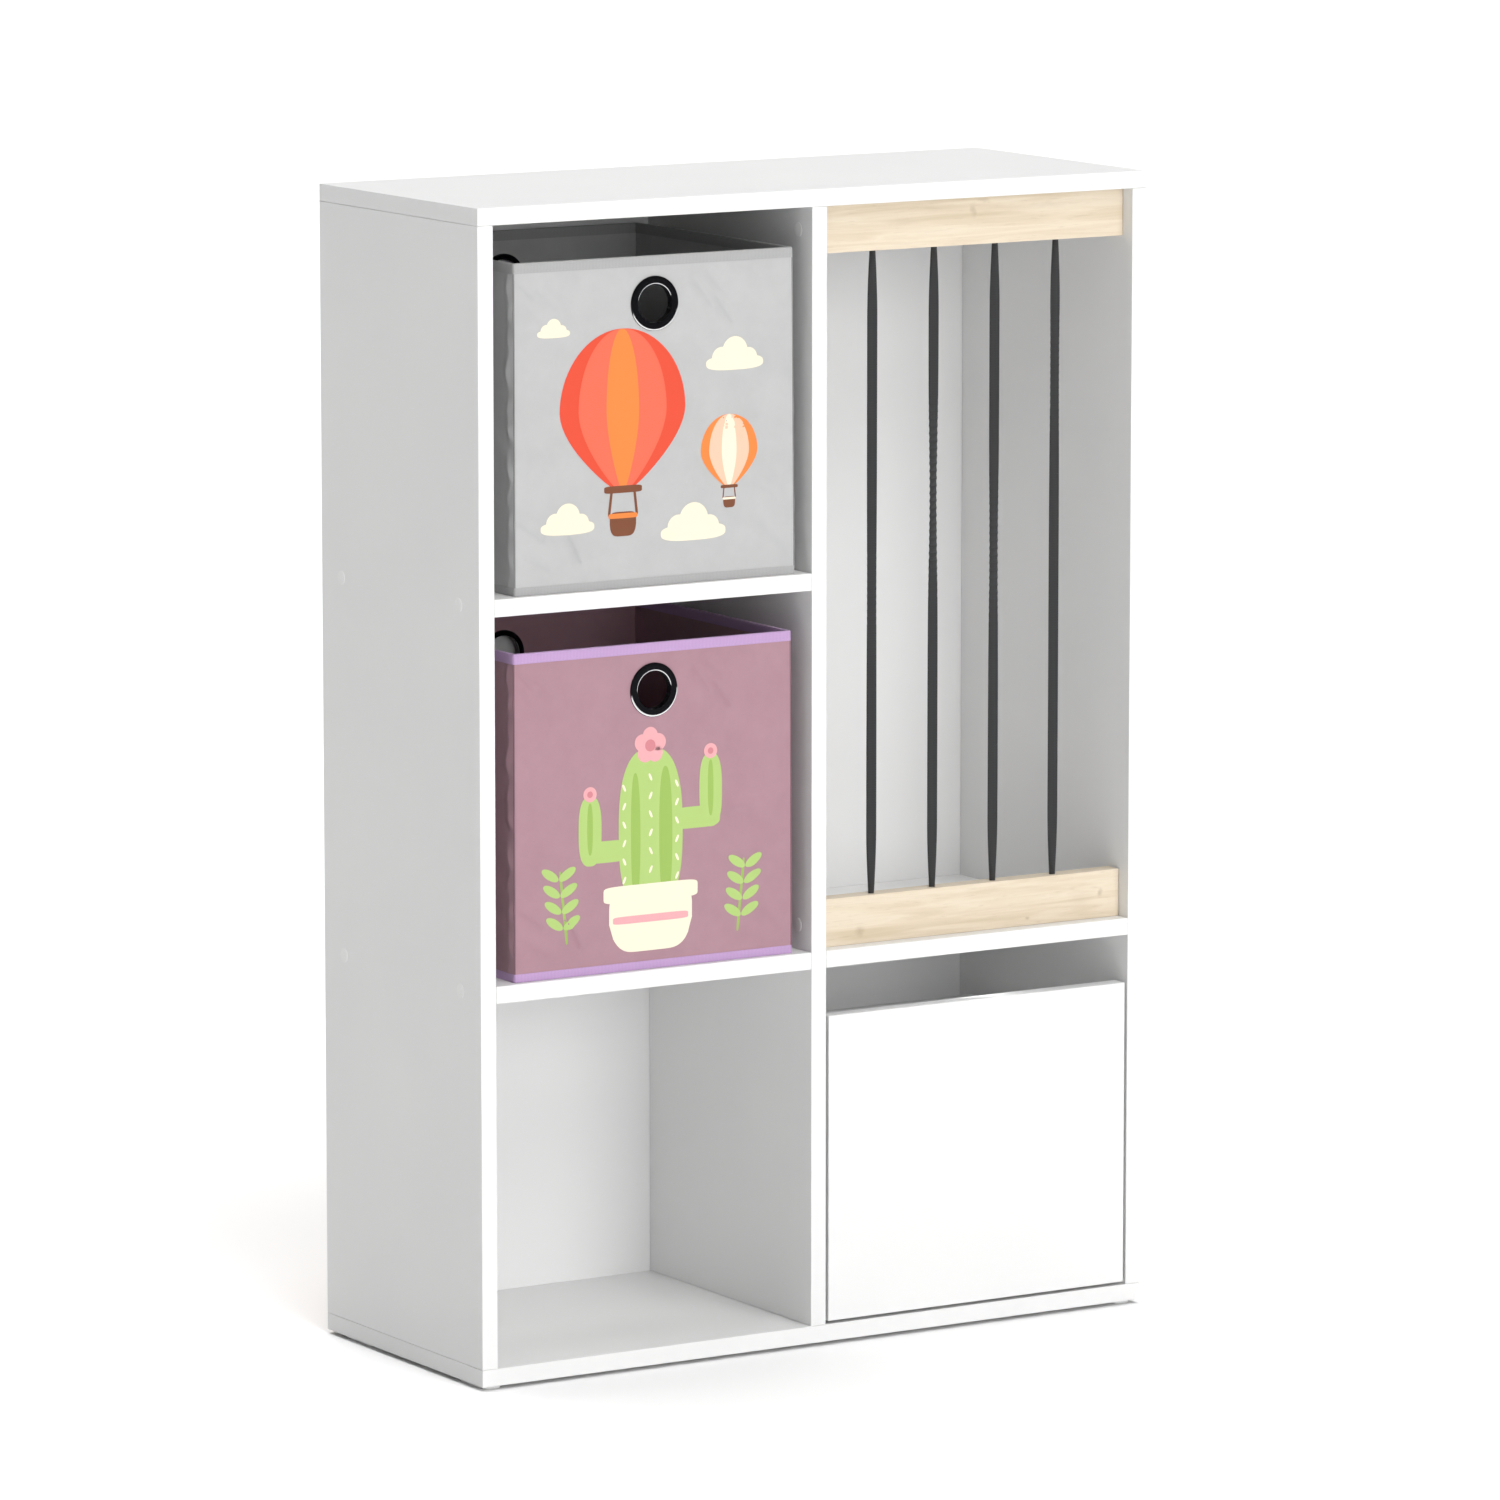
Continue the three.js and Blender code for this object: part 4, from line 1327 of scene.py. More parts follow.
def cloud(across: float, up: float, size: float) -> list[Shape]:
    """Lays out a cloud as three overlapping puffs on a flat bank.

    Args:
        across: Its middle across the panel.
        up: Its middle above the box's underside.
        size: Half its length.

    Returns:
        The cloud's shapes.
    """
    puffs = [(-0.45, 0.1, 0.34), (0.02, 0.3, 0.44), (0.5, 0.08, 0.3)]
    shapes = [
        Shape(Ink.CREAM.name, across + x * size, up + z * size, r * size, r * size, i)
        for i, (x, z, r) in enumerate(puffs)
    ]
    shapes.append(Shape(Ink.CREAM.name, across, up - 0.06 * size, size, 0.22 * size, 3, 0, 3))
    return shapes


def potted_cactus() -> tuple[Shape, ...]:
    """Lays out a flowering cactus in a pot, with leaf sprigs beside it.

    Returns:
        The shapes.
    """
    leaf, moss, cream = Ink.LEAF.name, Ink.MOSS.name, Ink.CREAM.name
    pink, rose = Ink.PINK.name, Ink.ROSE.name
    shapes = [
        Shape(leaf, -4 * MM, 128 * MM, 34 * MM, 76 * MM, 1, 0, 2.6),
        Shape(moss, 12 * MM, 124 * MM, 7 * MM, 62 * MM, 2, 0, 2.4),
        Shape(moss, -20 * MM, 124 * MM, 5 * MM, 58 * MM, 2, 0, 2.4),
        Shape(leaf, -52 * MM, 112 * MM, 26 * MM, 10 * MM, 0, 0, 4),
        Shape(leaf, -68 * MM, 132 * MM, 12 * MM, 32 * MM, 1, 0, 2.8),
        Shape(moss, -68 * MM, 134 * MM, 3 * MM, 24 * MM, 2, 0, 2.4),
        Shape(leaf, 44 * MM, 136 * MM, 26 * MM, 10 * MM, 0, 0, 4),
        Shape(leaf, 60 * MM, 160 * MM, 12 * MM, 34 * MM, 1, 0, 2.8),
        Shape(moss, 60 * MM, 162 * MM, 3 * MM, 26 * MM, 2, 0, 2.4),
        Shape(cream, -4 * MM, 44 * MM, 44 * MM, 27 * MM, 3, 0, 7, 0.3),
        Shape(cream, -4 * MM, 71 * MM, 50 * MM, 8 * MM, 4, 0, 7),
        Shape(pink, -4 * MM, 47 * MM, 40 * MM, 3.5 * MM, 5, 0, 7),
    ]
    for i in range(5):
        turn = i * FULL_TURN / 5 + 0.3
        x, z = -4 * MM + 9 * MM * math.cos(turn), 206 * MM + 9 * MM * math.sin(turn)
        shapes.append(Shape(pink, x, z, 8 * MM, 8 * MM, 3 + i % 2))
    shapes.append(Shape(rose, -4 * MM, 206 * MM, 5.5 * MM, 5.5 * MM, 5))
    for x, z in ((-68 * MM, 166 * MM), (60 * MM, 196 * MM)):
        shapes.append(Shape(pink, x, z, 7 * MM, 7 * MM, 3))
        shapes.append(Shape(rose, x, z, 3 * MM, 3 * MM, 4))
    for row in range(6):
        lean = 24 if row % 2 else -24
        for x in (-32 * MM, -4 * MM, 24 * MM):
            z = (84 + 17 * row + (8 if x == -4 * MM else 0)) * MM
            shapes.append(Shape(cream, x, z, 1.2 * MM, 3.6 * MM, 3, lean, 2.5))
    for side, foot in ((-1, (-96 * MM, 40 * MM)), (1, (92 * MM, 36 * MM))):
        shapes.append(Shape(moss, foot[0], foot[1] + 24 * MM, 1.3 * MM, 34 * MM, 1, -6 * side, 5))
        for i in range(4):
            z = foot[1] + (4 + 15 * i) * MM
            for hand in (-1, 1):
                x = foot[0] + side * 0.1 * (z - foot[1]) + hand * 9 * MM
                shapes.append(Shape(leaf, x, z + 6 * MM, 10 * MM, 4.2 * MM, 2, hand * 32))
    return tuple(shapes)


@dataclass
class FabricBox:
    """A folding fabric box: sewn cloth over stiff boards, with bound edges and two grommets."""

    colour: str
    cloth: NonWoven
    lining: NonWoven
    tape: BindingTape
    print_shapes: tuple[Shape, ...]
    seam_colour: str
    flare: float  # how far the right wall leans out at its foot
    creases: tuple[Crease, ...]

    pitch: float = 6 * MM
    corner_radius: float = 1.6 * MM
    seam_radius: float = 0.7 * MM
    wall: float = 3 * MM
    skin: float = 6 * MM  # the walls, their boards and their tape lie less deep than this
    firm_skin: float = 4 * MM  # what lies less deep than this moves in full with the cloth
    outer_skin: float = 0.4 * MM  # what lies less deep than this creases, the rest stays smooth
    full_crease: float = 2.3 * MM
    crease_shade_sharpness: float = 3.5  # how soon the painted crease shade fades beside a crease
    tape_thickness: float = 0.45 * MM
    tape_fold: float = 1.1 * MM
    tape_height: float = 9 * MM
    base_tape_height: float = 7.5 * MM
    bow: float = 1.1 * MM
    ridge_place: float = 8 * MM  # a soft fold beside each corner, from the corner
    ridge_width: float = 4.2 * MM
    ridge_height: float = 2.4 * MM
    corner_cuts: tuple[float, ...] = (2 * MM, 4 * MM, 8 * MM, 10 * MM, 14 * MM)
    stitch_pitch: float = 4.4 * MM
    stitch_length: float = 3 * MM
    stitch_width: float = 0.5 * MM
    stitch_inset: float = 1.5 * MM
    ink_gap: float = 0.12 * MM
    ink_step: float = 0.03 * MM
    ink_body: float = 0.02 * MM
    ink_points: int = 72
    board_corner: float = 4 * MM
    board_edge: float = 1.2 * MM
    grommet_radius: float = 25 * MM
    grommet_gap: float = 0.2 * MM  # between its parts and the wall
    grommet_rise: float = 1.7 * MM  # how far the ring's flat face stands off its rim
    shoulder_width: float = 2.1 * MM
    shoulder_height: float = 1.4 * MM
    lip_width: float = 1.1 * MM
    lip_height: float = 0.9 * MM
    lip_radius: float = 17.6 * MM
    hole_radius: float = 17.0 * MM
    barrel_radius: float = 18.2 * MM
    washer_radius: float = 22 * MM
    washer_height: float = 1.8 * MM
    washer_edge: float = 0.5 * MM
    flat_near: float = 27 * MM
    flat_far: float = 52 * MM

    def __post_init__(self) -> None:
        """Reads the box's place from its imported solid."""
        self.rings: list[bpy.types.Object] = []
        self.low, self.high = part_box(f"{self.colour}_box_fabric")
        self.middle = (self.low + self.high) / 2
        self.half = (self.high - self.low) / 2
        self.body = f"{self.colour}_box"
        front_low, front_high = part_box(f"{self.colour}_box_front_grommet")
        self.grommet_height = (front_low.z + front_high.z) / 2

    def build(self) -> None:
        """Makes the whole box."""
        self.add_cloth()
        self.add_rim_tape()
        self.add_base_tape()
        self.add_stitching()
        self.add_stiffeners()
        self.add_base_board()
        for side in (Side.FRONT, Side.REAR):
            self.add_grommet(side)
        self.add_corner_seams()
        self.add_print()

    def wall_push(self, side: Side, across: float, up: float) -> float:
        """Gives how far the cloth of a wall stands out from its flat solid.

        Args:
            side: The wall.
            across: Distance from the wall's middle, to the right seen from outside.
            up: Height above the box's underside.

        Returns:
            The distance, positive outwards.
        """
        reach = self.half.x if side.value[0] == 0 else self.half.y
        height = self.high.z - self.low.z
        share = min(abs(across) / reach, 1)
        rise = min(max(up / height, 0), 1)
        hold = (1 - share ** 4) * math.sin(math.pi * rise)
        swell = self.bow * (1 - share * share) * math.sin(math.pi * rise)
        # Two slow waves, shifted from wall to wall
        drift = 0.22 * MM * math.sin(across / (31 * MM) + 2.1 * up / (100 * MM) + side.value[0])
        drift += 0.18 * MM * math.sin(up / (37 * MM) - 1.3 * across / (60 * MM) + side.value[1])
        return (swell + drift * hold) * self.off_grommet(side, across, up)

    def fold_push(self, side: Side, across: float, up: float) -> float:
        """Gives how far the creased outer cloth of a wall stands off its board.

        Args:
            side: The wall.
            across: Distance from the wall's middle, to the right seen from outside.
            up: Height above the box's underside.

        Returns:
            The distance, positive outwards.
        """
        reach = self.half.x if side.value[0] == 0 else self.half.y
        share = min(abs(across) / reach, 1)
        rise = min(max(up / (self.high.z - self.low.z), 0), 1)
        push = sum(crease.at(across, up) for crease in self.creases) * (1 - share ** 8)
        if side in (Side.LEFT, Side.RIGHT):
            gap = reach - abs(across)
            # The fold beside the corner comes and goes up the wall, and wanders
            wave = 0.55 + 0.5 * math.sin(up / (4.4 * MM) + 0.9 * math.sin(up / (13 * MM)))
            wave += 0.3 * math.sin(up / (8.3 * MM) + 1.4)
            place = self.ridge_place + 2.2 * MM * math.sin(up / (6.1 * MM))
            fold = math.exp(-(((gap - place) / self.ridge_width) ** 2)) * max(wave, 0)
            fold *= smooth_step(0, 0.05, rise) * smooth_step(1, 0.95, rise)
            push += self.ridge_height * fold
        return push * self.off_grommet(side, across, up)

    def crease_shading(self, point: Vector) -> float:
        """Gives how much painted shade darkens the cloth beside a crease.

        Args:
            point: A point of the flat solid, in place.

        Returns:
            From 0, no painted shade, to 1, the full painted shade.
        """
        place = point - self.middle
        for side in Side:
            nx, ny = side.value
            depth = (self.half.x if nx else self.half.y) - (place.x * nx + place.y * ny)
            if depth < self.outer_skin:
                across, up = -place.x * ny + place.y * nx, point.z - self.low.z
                total = sum(crease.at(across, up) for crease in self.creases)
                return min(total / self.full_crease, 1) ** self.crease_shade_sharpness
        return 0.0

    def off_grommet(self, side: Side, across: float, up: float) -> float:
        """Fades a wall's bulges out round its grommet.

        Args:
            side: The wall.
            across: Distance from the wall's middle.
            up: Height above the box's underside.

        Returns:
            From 0 at the grommet to 1 clear of it.
        """
        if side in (Side.LEFT, Side.RIGHT):
            return 1.0
        from_grommet = math.hypot(across, up - (self.grommet_height - self.low.z))
        return smooth_step(self.flat_near, self.flat_far, from_grommet)

    def settle(self, point: Vector) -> Vector:
        """Moves a point of the flat solid to where the cloth carries it.

        Args:
            point: The point, in place.

        Returns:
            The moved point.
        """
        place = point - self.middle
        up = point.z - self.low.z
        moved = point.copy()
        for side in Side:
            nx, ny = side.value
            depth = (self.half.x if nx else self.half.y) - (place.x * nx + place.y * ny)
            if depth < self.skin:
                across = -place.x * ny + place.y * nx
                push = self.wall_push(side, across, up)
                push *= smooth_step(self.skin, self.firm_skin, depth)
                if depth < self.outer_skin:
                    push += self.fold_push(side, across, up)
                moved.x += nx * push
                moved.y += ny * push
        lean = self.flare * (1 - min(max(up / (2 * self.half.z), 0), 1))
        moved.x += lean * smooth_step(0, 1, place.x / self.half.x)
        return moved

    def settle_all(self, bm: bmesh.types.BMesh) -> None:
        """Moves every vertex of a bmesh with the cloth."""
        for vertex in bm.verts:
            vertex.co = self.settle(vertex.co)

    def spans(self) -> list[tuple[float, float]]:
        """Returns the box's stretch along X, Y and Z."""
        return list(zip(self.low, self.high))

    def front_spans(self) -> list[tuple[float, float] | None]:
        """Returns the front wall's stretch along X and Z."""
        across, _, up = self.spans()
        return [across, None, up]

    def on_front(self, face: bmesh.types.BMFace) -> bool:
        """Tells whether a face lies on the outside of the front wall."""
        return face.normal.y < -0.9 and face.calc_center_median().y < self.low.y + 0.2 * MM

    def cut_corners(self, bm: bmesh.types.BMesh) -> None:
        """Cuts the side walls more finely beside their corners, where they fold.

        Args:
            bm: The cloth's bmesh.
        """
        for gap in self.corner_cuts:
            for place in (self.low.y + gap, self.high.y - gap):
                bmesh.ops.bisect_plane(
                    bm, geom=bm.verts[:] + bm.edges[:] + bm.faces[:], dist=MERGE_DISTANCE,
                    plane_co=(0, place, 0), plane_no=(0, 1, 0),
                )

    def add_cloth(self) -> None:
        """Makes the sewn cloth, with its pockets and its eyelets."""
        bm = merged_copy(f"{self.colour}_box_fabric")
        round_uprights(bm, self.middle, self.half, self.corner_radius)
        cut_grid(bm, self.spans(), self.pitch)
        self.cut_corners(bm)
        front = [f for f in bm.faces if self.on_front(f)]
        # Each edge once, in the order of the faces
        edges = list(dict.fromkeys(e for f in front for e in f.edges))
        bmesh.ops.subdivide_edges(bm, edges=edges, cuts=1, use_grid_fill=True)
        inner_half = self.half - Vector((self.wall, self.wall, 0)) + Vector((1, 1, 0)) * 0.2 * MM
        for face in bm.faces:
            centre = face.calc_center_median()
            place = centre - self.middle
            inside = abs(place.x) < inner_half.x and abs(place.y) < inner_half.y
            face.material_index = int(inside and centre.z > self.low.z + 0.1 * MM)
        # The fold attribute holds how much painted shade darkens the cloth beside the creases
        fold = bm.verts.layers.float.new("fold")
        for vertex in bm.verts:
            vertex[fold] = self.crease_shading(vertex.co)
        self.settle_all(bm)
        finishes = [self.cloth.material(), self.lining.material()]
        piece = add_piece(f"{self.colour}_box_cloth", bm, finishes, self.body)
        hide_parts(f"{self.colour}_box_fabric")

    def tape_ring(self, low: float, high: float, folded: bool) -> bmesh.types.BMesh:
        """Makes a ring of tape round the outside of the walls.

        Args:
            low: Its lower edge.
            high: Its upper edge.
            folded: True where it folds over the rim and down the inside.

        Returns:
            The ring as a skin one tape thickness outside the cloth.
        """
        thick, radius = self.tape_thickness, self.corner_radius + self.tape_thickness
        inner = self.wall + 2 * thick
        outline = [(0, low, radius), (0, high, radius)]
        if folded:
            fold = self.tape_fold
            outline = [(0, low, radius)]
            for inset, drop in ((0, fold), (0.3 * fold, 0.3 * fold), (fold, 0)):
                outline.append((inset, high - drop, radius - 0.6 * inset))
            for inset, drop in ((fold, 0), (0.3 * fold, 0.3 * fold), (0, fold)):
                outline.append((inner - inset, high - drop, 0.3 * MM + 0.6 * inset))
            outline.append((inner, low, 0.3 * MM))
        rings = [
            (self.half.x + thick - inset, self.half.y + thick - inset, corner, height)
            for inset, height, corner in outline
        ]
        bm = stack_rings(self.middle, rings)
        spans = self.spans()
        cut_grid(bm, [spans[0], spans[1], None], self.pitch)
        bmesh.ops.solidify(bm, geom=bm.faces[:], thickness=thick)
        bmesh.ops.recalc_face_normals(bm, faces=bm.faces)
        self.settle_all(bm)
        return bm

    def add_rim_tape(self) -> None:
        """Binds the rim."""
        top = self.high.z + self.tape_thickness
        bm = self.tape_ring(self.high.z - self.tape_height, top, folded=True)
        add_piece(f"{self.colour}_box_rim_tape", bm, [self.tape.material()], self.body)

    def add_base_tape(self) -> None:
        """Binds the foot of the walls."""
        bm = self.tape_ring(self.low.z, self.low.z + self.base_tape_height, folded=False)
        add_piece(f"{self.colour}_box_base_tape", bm, [self.tape.material()], self.body)

    def add_corner_seams(self) -> None:
        """Closes the four upright corners with a fine raised seam."""
        low = self.low.z + self.base_tape_height
        high = self.high.z - self.tape_height
        inset = self.corner_radius * (1 - math.sqrt(0.5))
        bm = bmesh.new()
        for x in (self.low.x + inset, self.high.x - inset):
            for y in (self.low.y + inset, self.high.y - inset):
                bmesh.ops.create_cone(
                    bm, cap_ends=True, segments=10, radius1=self.seam_radius,
                    radius2=self.seam_radius, depth=high - low,
                    matrix=Matrix.Translation((x, y, (low + high) / 2)),
                )
        cut_grid(bm, [None, None, (low, high)], 2 * self.pitch)
        self.settle_all(bm)
        seam = NonWoven(f"{self.cloth.name}_seam", self.seam_colour, self.seam_colour)
        add_piece(f"{self.colour}_box_corner_seams", bm, [seam.material()], self.body)

    def add_stitching(self) -> None:
        """Sews both tapes down with a row of stitches."""
        bm = bmesh.new()
        heights = (
            self.high.z - self.tape_height + self.stitch_inset,
            self.low.z + self.base_tape_height - self.stitch_inset,
        )
        out = self.tape_thickness
        for side in Side:
            nx, ny = side.value
            reach, depth = (self.half.y, self.half.x) if nx else (self.half.x, self.half.y)
            length = reach - self.corner_radius - self.stitch_length
            count = int(2 * length / self.stitch_pitch)
            for height in heights:
                for i in range(count + 1):
                    across = -length + 2 * length * i / count
                    centre = Vector((
                        self.middle.x + nx * (depth + out) - ny * across,
                        self.middle.y + ny * (depth + out) + nx * across,
                        height,
                    ))
                    thread = self.stitch_width
                    size = Vector((abs(ny), abs(nx), 0)) * self.stitch_length
                    size += Vector((abs(nx), abs(ny), 0)) * 0.6 * thread + Vector((0, 0, thread))
                    matrix = Matrix.Translation(self.settle(centre)) @ Matrix.Diagonal((*size, 1))
                    bmesh.ops.create_icosphere(bm, subdivisions=1, radius=0.55, matrix=matrix)
        thread_finish = BindingTape(f"{self.tape.name}_thread", self.tape.colour, self.tape.colour)
        add_piece(f"{self.colour}_box_stitching", bm, [thread_finish.material()], self.body)

    def add_stiffeners(self) -> None:
        """Bows the boards in the walls as the cloth bows."""
        for side in Side:
            name = f"{self.colour}_box_{side.name.lower()}_stiffener"
            bm = merged_copy(name)
            cut_grid(bm, self.spans(), 2 * self.pitch)
            self.settle_all(bm)
            board = add_piece(f"{name}_board", bm, [GreyBoard().material()], self.body)
            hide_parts(name)

    def add_base_board(self) -> None:
        """Makes the loose bottom, a board in a cloth sleeve."""
        name = f"{self.colour}_box_base_board"
        low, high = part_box(name)
        middle, half = (low + high) / 2, (high - low) / 2
        bm = bmesh.new()
        matrix = Matrix.Translation(middle) @ Matrix.Diagonal((*(2 * half), 1))
        bmesh.ops.create_cube(bm, size=1, matrix=matrix)
        round_uprights(bm, middle, half, self.board_corner)
        rims = [e for e in bm.edges if abs(e.verts[0].co.z - e.verts[1].co.z) < MERGE_DISTANCE]
        bmesh.ops.bevel(
            bm, geom=rims, offset=self.board_edge, affect="EDGES", segments=3, profile=0.5,
            material=-1,
        )
        body = f"{self.colour}_base_board"
        board = add_piece(f"{name}_sleeve", bm, [self.lining.material()], body)
        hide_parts(name)

    def add_grommet(self, side: Side) -> None:
        """Makes one glossy grommet: a domed face outside, a barrel and a washer inside.

        Args:
            side: The wall that it is set in.
        """
        outer, hole, washer = self.grommet_radius, self.hole_radius, self.washer_radius
        face, inside, edge = self.grommet_gap, -(self.wall + self.grommet_gap), self.washer_edge
        crest, back = face + self.grommet_rise, inside - self.washer_height
        shoulder = (outer - self.shoulder_width, crest - self.shoulder_height)
        lip = (self.lip_radius + self.lip_width, crest - self.lip_height)
        profile = [
            (outer, face),
            *arc(shoulder, self.shoulder_width, 0, 90, 12, self.shoulder_height),
            *arc(lip, self.lip_width, 90, 180, 8, self.lip_height),
            (hole, back + edge), (hole + edge, back), (washer - 0.8 * MM, back),
            (washer - 0.2 * MM, back + edge), (washer, inside),
            (self.barrel_radius, inside), (self.barrel_radius, face),
        ]
        _, ny = side.value
        y = self.middle.y + ny * self.half.y
        axis = Axis.FRONT if side is Side.FRONT else Axis.REAR
        centre = Vector((self.middle.x, y, self.grommet_height))
        name = f"{self.colour}_box_{side.name.lower()}_grommet"
        piece = add_piece(
            f"{name}_ring", turned(profile, centre, axis, 96), [BLACK_GLOSS.material()], self.body,
        )
        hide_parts(name)
        self.rings.append(piece)

    def add_print(self) -> None:
        """Prints the front wall with flat patches of ink that follow the cloth."""
        inks = list(dict.fromkeys(shape.ink for shape in self.print_shapes))
        finishes = [
            NonWoven(f"{self.colour}_box_ink_{ink.lower()}", Ink[ink].value, Ink[ink].value,
                     roughness=0.72, sheen=0.05).material()
            for ink in inks
        ]
        whole = bmesh.new()
        for shape in self.print_shapes:
            patch = self.ink_patch(shape)
            for face in patch.faces:
                face.material_index = inks.index(shape.ink)
            absorb(whole, patch)
        add_piece(f"{self.colour}_box_print", whole, finishes, self.body)

    def ink_patch(self, shape: Shape) -> bmesh.types.BMesh:
        """Makes one patch of ink on the front wall.

        Args:
            shape: Its outline, place and layer.

        Returns:
            A thin closed patch.
        """
        bm = bmesh.new()
        bmesh.ops.create_circle(bm, cap_ends=True, segments=self.ink_points, radius=1)
        lean = Matrix.Rotation(math.radians(shape.lean), 2)
        power = 2 / shape.squareness
        for vertex in bm.verts:
            x = math.copysign(abs(vertex.co.x) ** power, vertex.co.x)
            z = math.copysign(abs(vertex.co.y) ** power, vertex.co.y)
            x *= 1 - shape.taper * max(-z, 0) ** 1.6
            flat = lean @ Vector((x * shape.half_width, z * shape.half_height))
            vertex.co = (
                self.middle.x + shape.across + flat.x, self.low.y, self.low.z + shape.up + flat.y,
            )
        cut_grid(bm, self.front_spans(), self.pitch, splits=2)
        out = self.ink_gap + shape.layer * self.ink_step
        for vertex in bm.verts:
            vertex.co = self.settle(vertex.co) - Vector((0, out, 0))
        bmesh.ops.recalc_face_normals(bm, faces=bm.faces)
        if sum(face.normal.y for face in bm.faces) > 0:
            bmesh.ops.reverse_faces(bm, faces=bm.faces)
        bmesh.ops.solidify(bm, geom=bm.faces[:], thickness=self.ink_body)
        return bm


@dataclass
class Studio:
    """A pale floor, soft lights and the camera that stood for the photograph."""

    camera_place: tuple[float, float, float] = (-4.3322, -7.0359, 1.828)
    camera_yaw: float = 31.715  # degrees to the right of +Y
    camera_pitch: float = 8.849  # degrees below the horizon
    camera_lens: float = 214.98  # millimetres
    camera_sensor: float = 36.0  # millimetres
    camera_reach: float = 200.0
    floor_size: float = 60.0
    backdrop_radius: float = 28.0
    backdrop_height: float = 40.0
    world_strength: float = 0.03
    card_width: float = 5.7
    card_depth: float = 1.7
    card_power: float = 560.0
    card_right: float = 1.6  # its middle, to the right of the unit's
    card_gap: float = 0.2  # from the unit's middle to its near edge
    card_height: float = 0.01
    fill_place: tuple[float, float, float] = (120 * MM, -118 * MM, 334 * MM)
    fill_turn: float = 22.0  # degrees to the right of +Y
    fill_width: float = 180 * MM
    fill_depth: float = 16 * MM
    fill_power: float = 0.08

    def build(self) -> None:
        """Sets the stage up."""
        self.add_floor()
        self.add_backdrop()
        self.add_world()
        self.add_lights()
        self.add_camera()
        bpy.context.scene.view_settings.view_transform = "Standard"

    def add_floor(self) -> None:
        """Lays a large pale floor under the unit."""
        bm = bmesh.new()
        bmesh.ops.create_grid(bm, x_segments=1, y_segments=1, size=self.floor_size / 2)
        paint, _ = new_material(
            "studio_floor_matt_paint", Base_Color=linear("#F8F8F8"), Roughness=0.9,
            Specular_IOR_Level=0.0,
        )
        self.set_stage("studio_floor", bm, paint)

    def add_backdrop(self) -> None:
        """Hangs a plain white backdrop far behind, all round, that lights nothing."""
        bm = bmesh.new()
        middle = Matrix.Translation((0, 0, self.backdrop_height / 2 - 1))
        bmesh.ops.create_cone(
            bm, segments=64, radius1=self.backdrop_radius, radius2=self.backdrop_radius,
            depth=self.backdrop_height, matrix=middle,
        )
        bmesh.ops.reverse_faces(bm, faces=bm.faces)
        glow, _ = new_material(
            "studio_backdrop_lit_white", Base_Color=linear("#000000"), Roughness=1.0,
            Emission_Color=linear("#FFFFFF"), Emission_Strength=1.0, Specular_IOR_Level=0.0,
        )
        backdrop = self.set_stage("studio_backdrop", bm, glow)
        backdrop.visible_diffuse = False
        backdrop.visible_transmission = False
        backdrop.visible_shadow = False

    @staticmethod
    def set_stage(
        name: str, bm: bmesh.types.BMesh, material: bpy.types.Material
    ) -> bpy.types.Object:
        """Makes a bmesh into a part of the stage that no gloss mirrors, and frees the bmesh.

        Args:
            name: The name of the part.
            bm: Its shape, in place.
            material: Its finish.

        Returns:
            The new object.
        """
        mesh = bpy.data.meshes.new(name)
        bm.to_mesh(mesh)
        bm.free()
        mesh.materials.append(material)
        part = bpy.data.objects.new(name, mesh)
        part.visible_glossy = False
        bpy.context.scene.collection.objects.link(part)
        return part

    def add_world(self) -> None:
        """Surrounds the unit with white."""
        world = bpy.data.worlds.new("studio_world")
        world.use_nodes = True
        background = world.node_tree.nodes["Background"]
        background.inputs["Color"].default_value = linear("#FFFFFF")
        background.inputs["Strength"].default_value = self.world_strength
        bpy.context.scene.world = world

    def add_lights(self) -> None:
        """Lights the unit from the front, from above and from behind."""
        self.add_sun("level_sky", 5.0, 40.0, 2.1)
        self.add_sun("high_sky", 50.0, 40.0, 1.5)
        self.add_sun("top_sky", 105.0, 60.0, 3.0)
        self.add_fill()

    @staticmethod
    def add_sun(name: str, elevation: float, spread: float, strength: float) -> None:
        """Adds a wide patch of light, so far away that it falls evenly.

        Args:
            name: The light's name.
            elevation: Its height above the horizon in front, in degrees. Past 90 it is behind.
            spread: Its angle across, in degrees.
            strength: Its strength in watts per square metre.
        """
        light = bpy.data.lights.new(name, "SUN")
        light.angle = math.radians(spread)
        light.energy = strength
        lamp = bpy.data.objects.new(name, light)
        lamp.rotation_euler = (math.radians(90 - elevation), 0, 0)
        lamp.visible_glossy = False
        bpy.context.scene.collection.objects.link(lamp)

    @staticmethod
    def add_panel(name: str, size: tuple[float, float], power: float) -> bpy.types.Object:
        """Adds a lit rectangle that the camera doesn't see.

        Args:
            name: The light's name.
            size: Its width and its depth.
            power: Its power in watts.

        Returns:
            The lamp, which shines straight down from the origin.
        """
        light = bpy.data.lights.new(name, "AREA")
        light.shape = "RECTANGLE"
        light.size, light.size_y = size
        light.energy = power
        lamp = bpy.data.objects.new(name, light)
        lamp.visible_camera = False
        bpy.context.scene.collection.objects.link(lamp)
        return lamp

    def add_fill(self) -> None:
        """Puts a faint lamp in the gap above the drawer front, which little light reaches."""
        lamp = self.add_panel("gap_fill", (self.fill_width, self.fill_depth), self.fill_power)
        lamp.location = self.fill_place
        lamp.rotation_euler = (math.pi / 2, 0, -math.radians(self.fill_turn))
        lamp.visible_glossy = False

